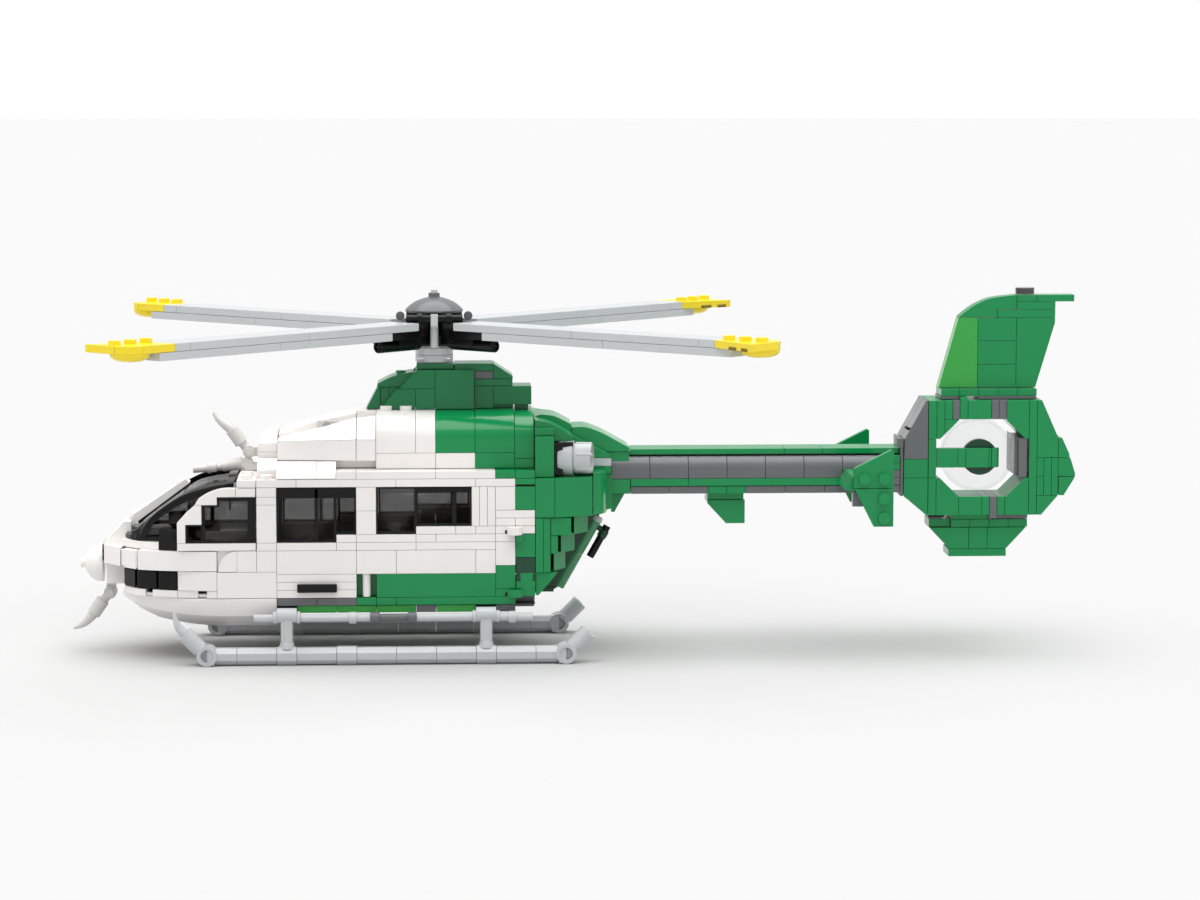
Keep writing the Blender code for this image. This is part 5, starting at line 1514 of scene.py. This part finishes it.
@dataclass
class RearDoor:
    """One half of the clamshell, hinged on an upright axis at its front edge."""

    side: int
    inner: float = 30.0
    front: float = 112.2

    def build(self) -> None:
        """Lay the stepped rows of the door."""
        body, front, out = side_name("rear_door", self.side), self.front, HALF_WIDTH
        door = Bricks(side_name("rear_door_bricks", self.side), Colour.GREEN, body, (self.side,)).lay(
            [(self.inner, out, (42.4, 51.85, front, 120), (29.6, 32.8, front, 120),
              (26.6, 29.6, front, 120), (36.1, 58.2, 120.1, 123.3)),
             (out - 1, out + 2.6, (27.0, 29.2, front, 115.0), (48.8, 51.6, front, 115.0))],
            [(27.0, 34.8, [(120.2, 26.7), (121.4, 26.7), (129.2, 36.0), (120.2, 36.0)])])
        door.prism([(123.3, 36.0), (126.2, 35.2), (126.2, 29.0), (123.3, 29.0)], "XY", 36.1, 58.2)
        for low, high, flat, reach in ((51.0, 58.2, 134.6, 141.8), (43.5, 51.0, 129.3, 136.4),
                                       (36.1, 43.5, 126.4, 132.6)):
            self.lay_row(door, low, high, flat, reach)
        rings = []
        for z, reach in ((26.6, 121.0), (36.0, 129.6)):
            corner = max(124.0 - (142.0 - reach) * 0.4, 118.2)
            plan = [(114.0, 36.0), (corner, 36.0), ((corner + reach) / 2, 31.0), (reach, 22.0), (reach, 3.1),
                    (reach - 6.0, 3.1), (reach - 6.0, 20.0), (114.0, 30.0)]
            rings.append([(x, y, z) for x, y in plan])
        door.loft(rings)
        door.finish(body)
        Bricks(side_name("rear_door_dark", self.side), Colour.DARK_GREEN, body, (self.side,)).lay(
            [(self.inner, out, (32.8, 42.4, front, 120.0))]).finish()

    def lay_row(self, door: Bricks, low: float, high: float, flat: float, reach: float) -> None:
        """Lay a row that bends round to the middle.

        Args:
            door: The piece that it belongs to.
            low: Its foot.
            high: Its head.
            flat: The station where its flank ends.
            reach: The station of its back.
        """
        if flat > 128:
            door.prism([(126.3, 35.0), (flat, 34.0), (flat, 27.0), (126.3, 28.0)], "XY", low, high)
        door.prism([(flat + 1.2, 31.5), (reach, 23.0), (reach - 0.3, 12.6), (reach - 7.0, 12.6),
                    (flat + 0.4, 26.0)], "XY", low, high)
        door.prism([(reach - 0.3, 12.4), (reach - 1.0, 3.1), (reach - 7.0, 3.1), (reach - 7.0, 12.4)], "XY",
                   low, high)


@dataclass
class Boom:
    """The tail boom with its rounded grey sides and the block below."""

    front: float = 159.8
    back: float = 270.6
    root: float = 151.9

    def build(self) -> None:
        """Lay the boom."""
        self.lay_green()
        self.lay_core()
        self.lay_sides()

    def lay_green(self) -> None:
        """Top tiles, side strips, belly plates and the block."""
        Bricks("boom_bricks", Colour.GREEN, sides=MIDDLE).lay(
            [(-8, 8, (80.7, 83.1, self.front, 223.2, 239.0, self.back)),
             (-12, 12, (68.1, 71.2, self.front, 183.4, 247.0, 262.4)),
             (-11.8, 11.8, (74.3, 77.2, 265.6, self.back), (77.2, 80.4, 265.6, self.back),
              (65.0, 71.2, self.root, 159.7)),
             (-11.6, 11.6, (64.9, 68.0, 191.6, 199.3, 207.1)), (-7.4, 7.4, (61.9, 65.0, 191.6, 206.6))],
            [(-8, 8, [(191.6, 61.9), (191.6, 60.4), (199.3, 52.1), (207.1, 52.1), (207.1, 61.9)])]
        ).finish("boom")

    def lay_core(self) -> None:
        """The dark core and the bumps in the gap over it."""
        Bricks("boom_core", Colour.BLACK, sides=MIDDLE).lay([
            (-6.8, 6.8, (71.2, 80.6, self.root, self.back))]).finish()
        Bricks("boom_bump", Colour.BLACK, sides=MIDDLE).lay(rods=[
            ((155.6, y, 80.0), (155.6, y, 80.8), 2.0, None, 12) for y in (-6.6, 6.6)
        ]).repeated(14, (STUD, 0.0, 0.0)).finish()

    def lay_sides(self) -> None:
        """The rounded tiles of the sides and the belly's grey plates."""
        tile = Bricks("boom_tile", Colour.DARK_GREY)
        curve = smooth_curve([(12.0, 74.4), (11.6, 76.6), (10.3, 78.8), (8.4, 80.1)], 3)
        tile.prism([(6.4, 71.2), (12.0, 71.2), *curve, (6.4, 80.1)], "YZ", self.root, 167.7)
        tiles = tile.repeated(7, (15.84, 0.0, 0.0))
        tiles.name = "boom_side_tiles"
        tiles.lay([(-11.8, 11.8, (68.1, 71.2, 262.5, self.back), (71.2, 74.2, 262.5, self.back)),
                   (-11.6, 11.6, (64.9, 68.0, 159.8, 175.7, 191.6),
                    (64.9, 68.0, 207.1, 223.5, 239.5, 255.4, 270.6))]).finish()


@dataclass
class Stabilizer:
    """The small wings with their studded end plates."""

    face: float = 43.2

    def build(self) -> None:
        """Lay both wings."""
        profile = [(244.6, 69.4), (247.8, 75.0), (262.6, 75.0), (262.6, 68.8), (247.8, 68.8)]
        wing = Bricks("stabilizer_bricks", Colour.GREEN).lay(plates=[
            (12.3, 26.0, profile), (26.0, 40.0, profile),
            (40.0, self.face, [(248.0, 70.5), (248.0, 78.5), (263.0, 86.0), (264.1, 85.4), (264.1, 70.5)],
             [(248.2, 70.4), (264.1, 70.4), (264.1, 54.8), (256.1, 54.8)])])
        spots = ((252.1, 74.3), (260.2, 74.3), (260.2, 66.3), (260.2, 58.4))
        wing.studs([(x, self.face, z) for x, z in spots], (0, 1, 0))
        wing.finish(*pair("stabilizer"))
        Bricks("stabilizer_under_blocks", Colour.DARK_GREY).lay([
            (35.6, 39.7, (62.6, 68.8, 247.9, 252.6))]).finish()


@dataclass
class Tail:
    """Shroud ring with foot, arm and clear rotor, the fin and the beacon."""

    hub_x: float = 304.0
    hub_z: float = 79.1
    half: float = 12.0
    rotor_y: float = -8.4
    fin_half: float = 4.0

    def build(self) -> None:
        """Lay all of the tail."""
        self.lay_ring()
        self.lay_insets()
        self.lay_arm()
        self.lay_rotor()
        self.lay_fin()

    def eased(self, x: float) -> float:
        """A station of the shroud, set back a little except at its rear tip."""
        return x + max(0.0, min(0.75, (x - 272.0) * 0.08, (343.3 - x) * 0.06))

    def lay_ring(self) -> None:
        """The shroud of bricks round the opening, and its foot."""
        ring, half = Bricks("tail_ring_bricks", Colour.GREEN, sides=MIDDLE), self.half
        rows = (
            (70.9, 78.7, 272.1, 281.4), (70.9, 86.9, 281.5, 284.8), (86.9, 102.9, 281.5, 284.9),
            (95.0, 102.9, 288.2, 291.4), (95.0, 104.2, 294.4, 297.7), (95.0, 102.9, 297.7, 307.4),
            (55.4, 102.9, 323.1, 326.4), (71.3, 79.1, 326.4, 329.3), (63.4, 71.3, 326.4, 329.3),
            (63.4, 79.1, 329.3, 332.6, 335.5), (55.4, 70.9, 281.5, 284.8),
            (55.4, 63.2, 294.2, 303.8, 306.9), (55.4, 63.2, 310.1, 313.3))
        wedges = (
            [(272.1, 63.4), (272.1, 70.9), (281.4, 70.9), (281.4, 55.4), (280.9, 55.4)],
            [(284.9, 86.9), (284.9, 102.9), (288.2, 102.9), (288.2, 88.8), (286.4, 87.0)],
            [(288.2, 88.8), (288.2, 95.0), (294.4, 95.0)],
            [(313.7, 94.6), (313.7, 102.9), (323.1, 102.9), (323.1, 86.9), (321.4, 86.9)],
            [(326.4, 79.1), (326.4, 102.9), (328.3, 102.9), (335.5, 87.3), (335.5, 79.1)],
            [(335.5, 79.1), (335.5, 87.3), (337.2, 87.3), (340.4, 80.7), (340.7, 79.1)],
            [(335.5, 71.3), (335.5, 79.1), (340.9, 79.1), (343.0, 72.8), (343.2, 71.3)],
            [(335.7, 63.4), (335.7, 71.2), (343.2, 71.2), (338.1, 63.4)],
            [(326.4, 55.4), (326.4, 63.4), (335.6, 63.4), (328.4, 55.4)],
            [(284.8, 55.4), (284.8, 70.9), (286.4, 70.9), (294.2, 63.2), (294.2, 55.4)],
            [(313.3, 55.4), (313.3, 63.2), (313.8, 63.2), (321.6, 70.9), (323.1, 70.9), (323.1, 55.4)])
        ring.lay([(-half, half, *((low, high, *map(self.eased, joints)) for low, high, *joints in rows))],
                 [(-half, half, *([(self.eased(x), z) for x, z in wedge] for wedge in wedges))])
        ring.lay([(-6.6, 6.6, (50.0, 53.4, 283.3, 292.2)),
                  (-8, 8, (50.0, 53.3, 292.3, 300.2, 308.2, 316.2, 324.1), (53.3, 55.4, 292.3, 307.6),
                   (40.9, 49.9, 299.8, 307.5), (37.8, 40.9, 291.4, 315.4))],
                 [(-8, 8, [(283.4, 49.9), (299.8, 49.9), (299.8, 40.9), (291.9, 40.9)],
                   [(307.5, 49.9), (323.7, 49.9), (315.3, 40.9), (307.5, 40.9)])])
        ring.finish("tail_ring")

    def lay_insets(self) -> None:
        """The grey pieces in and around the shroud, and black pieces that paint the shade in its gaps and
        holes.
        """
        half = self.half
        slope = [(272.2, 78.7), (272.4, 87.0), (281.2, 102.9), (282.1, 102.9), (282.1, 78.7)]
        Bricks("tail_ring_grey", Colour.DARK_GREY, sides=MIDDLE).lay(
            [(-11.6, 11.6, (63.4, 86.9, 270.7, 272.0)),
             (-half, half, (95.0, 103.0, 292.2, 295.1), (95.0, 103.0, 308.2, 311.3, 314.4),
              (54.0, 63.2, 307.7, 310.8)),
             (-8.6, 8.6, (53.6, 55.3, 310.8, 324.1)),
             (-8.2, 8.2, (103.0, 104.2, 287.4, 295.2), (103.0, 104.2, 303.4, 327.3)),
             (-half + 0.4, half - 0.4, (71.0, 87.2, 319.5, 323.1))],
            [(-half, -0.1, slope), (0.1, half, slope),
             (-half + 2.0, half - 2.0, [(317.9, 72.0), (319.6, 71.1), (319.6, 87.1), (317.9, 88.2)])]
        ).finish()
        Bricks("tail_front_block", Colour.DARK_GREY, sides=MIDDLE).lay([
            (-half + 0.2, -half + 3.4, (83.4, 87.4, 269.4, 272.0))]).finish()
        # Black pegs paint the shade inside the slope's two holes.
        Bricks("tail_slope_hole_shade", Colour.BLACK, sides=MIDDLE, edge=0.0).lay(rods=[
            ((274.6, y, 90.8), (273.2, y, 91.6), 0.55, None, 12) for y in (-8.6, -5.6)]).finish()
        # Black blocks inside the shroud paint the shade seen through its gaps.
        Bricks("tail_ring_gap_shade", Colour.BLACK, sides=MIDDLE).lay([
            (-10.0, 10.0, (64.0, 86.6, 324.0, 338.0)), (-6.0, 6.0, (53.8, 55.4, 283.0, 290.0))]).finish()

    def lay_arm(self) -> None:
        """The fixed arm that carries the rotor's pin."""
        arm = Bricks("tail_arm_plates", Colour.GREEN, sides=MIDDLE).lay([
            (-11.9, -8.9, (75.1, 83.2, 285.6, 294.4, 297.7, 307.3)),
            (-11.7, -9.1, (75.3, 83.0, 307.3, 308.4))])
        bend = [(308.4, -11.9), *arc((309.3, -9.0), 2.5, 2.9, 270, 360, 5), (308.4, -9.0)]
        arm.prism(bend, "XY", 75.1, 83.2)
        arm.finish("tail_arm")

    def lay_rotor(self) -> None:
        """The clear disc with its rim and the dark round hub."""
        centre, way = (self.hub_x, self.rotor_y, self.hub_z), (0, 1, 0)
        disc = Bricks("tail_disc", Colour.CLEAR, "tail_rotor", MIDDLE, 0.1)
        disc.turned([(0, 8.1), (4.0, 8.1), (7.0, 7.8), (12.0, 8.6), (15.2, 9.8), (15.2, 8.5), (12.0, 6.5),
                     (7.6, 5.7), (0, 5.6)], centre, way, 56)
        for radius in (14.4, 15.3):
            inner = radius - 0.35
            disc.turned([(inner, 9.8), (radius, 9.8), (radius, 10.4), (inner, 10.4), (inner, 9.8)],
                        centre, way, 56)
        disc.finish("tail_rotor")
        hub = Bricks("tail_hub", Colour.DARK_GREEN, "tail_rotor", MIDDLE)
        hub.turned([(0, 0), (7.4, 0), (7.4, 3.0), (5.0, 3.1), (5.0, 5.5), (0, 5.5)], centre, way, 40)
        hub.finish()

    def lay_fin(self) -> None:
        """The fin of bricks with its bright front panel and the beacon."""
        half = self.fin_half
        Bricks("fin_panel", Colour.LIME, sides=MIDDLE).lay(plates=[
            (-half, half, [(287.2, 107.4), (295.3, 136.4), (303.3, 136.4), (303.3, 107.4)])]).finish()
        top = smooth_curve([(295.2, 136.5), (298.6, 139.2), (302.4, 141.8), (308.8, 144.4),
                            (319.3, 145.7)], 3)
        Bricks("fin_bricks", Colour.GREEN, sides=MIDDLE).lay(
            [(-half, half, (107.4, 117.0, 303.3, 319.3), (117.0, 126.7, 303.3, 319.3),
              (126.7, 136.3, 303.3, 319.3), (136.3, 139.5, 311.4, 335.4), (139.5, 142.9, 319.4, 335.4),
              (142.9, 145.7, 319.4, 327.6), (142.8, 145.7, 327.6, 343.2)),
             (-8, 8, (104.2, 107.3, 287.8, 295.4, 303.4, 311.4, 319.4, 327.4))],
            [(-half, half, [(319.3, 107.4), (319.3, 136.3), (335.4, 136.3), (335.3, 134.0), (327.4, 107.4)],
              [*top, (319.3, 139.6), (311.2, 139.6), (311.2, 136.4)])]).finish("fin")
        Bricks("beacon_round", Colour.BEACON, sides=MIDDLE).lay(
            rods=[((323.2, 0, 145.85), (323.2, 0, 148.4), 3.9)]).finish("beacon")


@dataclass
class Skids:
    """Two skids: jointed tubes with bent, bored ends, tee struts and step rods."""

    y: float = 40.0
    radius: float = 3.7
    z: float = 3.7
    joints: tuple[float, ...] = (-8.8, 0, 16, 24, 40, 48, 64, 80, 96, 104, 120, 129.0)
    sleeves: tuple[float, ...] = (16, 40, 96)
    struts: tuple[float, ...] = (20.0, 100.0)
    step_z: float = 18.9

    def build(self) -> None:
        """Lay both skids and their frames."""
        self.lay_tubes()
        self.lay_frames()

    def octagon(self, piece: Bricks, start: float, end: float, radius: float) -> None:
        """Lay an eight-sided stretch of tube, flat side down."""
        corner, size = radius / math.cos(math.pi / 8), end - start
        piece.turned([(0, 0), (corner, 0), (corner, size), (0, size)], (start, self.y, self.z),
                     (1, 0, 0), 8, 22.5)

    def lay_tubes(self) -> None:
        """The tubes with their joints, ring ends, arms and front horns."""
        tube, y = Bricks("skid_tubes", Colour.LIGHT_GREY), self.y
        for start, end in zip(self.joints, self.joints[1:]):
            self.octagon(tube, start + GAP, end - GAP,
                         self.radius if start in self.sleeves else self.radius - 0.35)
        for x, way in ((-12.0, -1), (132.2, 1)):
            centre = (x, y, 4.2)
            for low, high in ((-4.0, -1.6), (1.6, 4.0)):
                tube.turned([(2.5, low), (4.15, low), (4.15, high), (2.5, high), (2.5, low)],
                            centre, (0, 1, 0), 32)
            tube.turned([(0, -1.7), (3.9, -1.7), (3.9, 1.7), (0, 1.7)], centre, (0, 1, 0), 32)
            tube.pipe((x + way * 2.6, y, 6.4), (x + way * 9.0, y, 12.8), 3.4, 2.3, 2.0, 20)
            tube.block(*sorted((x, x - way * 3.2)), y - 3.6, y + 3.6, 0.3, 7.4)
        horn = smooth_curve([(-20.2, y, 12.0), (-23.0, y, 15.0), (-24.4, y, 18.2), (-24.9, y, 21.3)], 3)
        tube.tube(horn, 2.0, tapered(len(horn), 0.68, 1.3))
        tube.finish(*pair("skid"))

    def lay_frames(self) -> None:
        """Struts, tee heads and the step rod."""
        frame, y = Bricks("skid_struts", Colour.LIGHT_GREY), self.y
        for x in self.struts:
            frame.lay([(36.1, 38.6, (17.7, 22.5, x - 3.0, x + 3.0))], rods=[
                ((x - 4, y, 20.0), (x + 4, y, 20.0), 3.0), ((x + 4, y, 19.2), (x + 5.4, y, 19.2), 2.5),
                ((x - 5.4, y, 19.2), (x - 4, y, 19.2), 2.5), ((x, y, 7.6), (x, y, 19.0), 2.5),
                ((x, y, 6.6), (x, y, 9.4), 3.2, 2.6)])
            for turn in (45, 135, 225, 315):
                u, v = 2.2 * math.cos(math.radians(turn)), 2.2 * math.sin(math.radians(turn))
                frame.rod((x + u, y + v, 9.4), (x + u, y + v, 18.4), 0.8, None, 10)
        self.step(frame, (6.7, 14.6, BAR), (25.4, 53.5, BAR), (72.1, 94.6, BAR), (105.4, 118.8, BAR),
                  (44.9, 47.9, 2.4), (109.0, 112.0, 2.4))
        frame.finish(*pair("skid_frame"))
        sleeves = Bricks("step_sleeves", Colour.DARK_GREY)
        self.step(sleeves, (57.3, 68.6, BAR), (53.5, 57.3, 2.4), (68.6, 72.1, 2.4))
        sleeves.finish()

    def step(self, piece: Bricks, *stretches: tuple[float, float, float]) -> None:
        """Lay stretches of the step rod, each by its start, its end and its radius."""
        for start, end, radius in stretches:
            piece.rod((start, self.y, self.step_z), (end, self.y, self.step_z), radius)


@dataclass
class Cutters:
    """Wire cutters above and below the nose, and the probe above the windscreen."""

    probe_z: float = 75.9

    def build(self) -> None:
        """Lay the two horns and the probe."""
        self.lay_horn("upper", (3.8, 82.2), (-1, 1), (3.8, 7.9, 80.3, 84.1),
                      [(-3.4, 91.2), (-6.4, 93.2), (-9.0, 95.6), (-10.8, 98.2)])
        self.lay_horn("lower", (-53.6, 24.4), (-1, -1), (-55.2, -51.2, 25.0, 28.2),
                      [(-60.8, 15.2), (-63.6, 12.2), (-66.4, 10.3), (-69.1, 9.4)])
        self.lay_probe()

    def lay_horn(self, name: str, joint: Flat, way: Flat, link: tuple, path: Sequence[Flat]) -> None:
        """Lay one cutter.

        Args:
            name: Its name.
            joint: The middle of its joint.
            way: Where its arm points.
            link: The two ends, foot and head of the block that holds it.
            path: The horn's line.
        """
        # The cutter is in the white darkened by painted shade.
        horn = Bricks(f"{name}_cutter_parts", Colour.PAINTED_SHADE_WHITE, sides=MIDDLE)
        (x, z), (ex, ez), (front, back, low, high) = joint, path[0], link
        middle_x, middle_z = (x + ex) / 2 + way[0] * 0.3, (z + ez) / 2
        horn.lay([(-2.4, 2.4, (low, high, front, back))], rods=[
            ((x, -3.1, z), (x, -1.3, z), 2.6), ((x, -1.1, z), (x, 1.1, z), 2.6),
            ((x, 1.3, z), (x, 3.1, z), 2.6), ((x, -3.9, z), (x, 3.9, z), 1.6),
            ((x + way[0] * 0.8, 0, z + way[1]), (middle_x, 0, middle_z), 1.9, None, 16),
            ((middle_x + 0.8, 0, middle_z - way[1] * 1.2), (ex, 0, ez), 2.75, None, 24)])
        line = smooth_curve([(a, 0.0, b) for a, b in path], 4)
        horn.tube(line, 2.0, tapered(len(line), 0.74, 1.4))
        horn.finish(f"{name}_cutter")

    def lay_probe(self) -> None:
        """The probe on its clip plate."""
        z = self.probe_z
        plate = [(-3.0, 3.0, (74.5, 77.4, 2.1, 7.4))]
        # The probe is in the white darkened by painted shade.
        Bricks("probe_parts", Colour.PAINTED_SHADE_WHITE, sides=MIDDLE).lay(plate, rods=[
            ((-19.3, 0, z - 1.2), (-13.0, 0, z - 0.7), 1.5), ((-13.4, 0, z - 0.7), (-9.6, 0, z - 0.4), 2.3),
            ((-9.8, 0, z - 0.4), (-7.4, 0, z - 0.2), 1.5), ((-7.4, 0, z - 0.2), (1.2, 0, z + 1.4), 2.0, 2.6),
            ((2.9, -2.9, z + 1.4), (2.9, 2.9, z + 1.4), 2.4)]).finish("probe")
        Bricks("probe_collar", Colour.BLACK, sides=MIDDLE).lay(rods=[
            ((-11.8, 0, z - 2.4), (-9.4, 0, z - 1.9), 1.6, None, 16),
            ((1.4, 0, z + 0.2), (3.4, 0, z + 0.4), 1.5, None, 16)]).finish()


def main() -> None:
    logging.basicConfig(level=logging.INFO, format="%(name)s %(message)s")
    for part in (Studio(), Nose(), Windscreen(), CockpitDoor(-1), CockpitDoor(1), CabinWall(), Cabin(),
                 Cowls(), Pylon(), MainRotor(), RearBody(), RearDoor(-1), RearDoor(1), Boom(),
                 Stabilizer(), Tail(), Skids(), Cutters()):
        part.build()
        LOG.info("%s built", type(part).__name__)


if __name__ == "__main__":
    main()
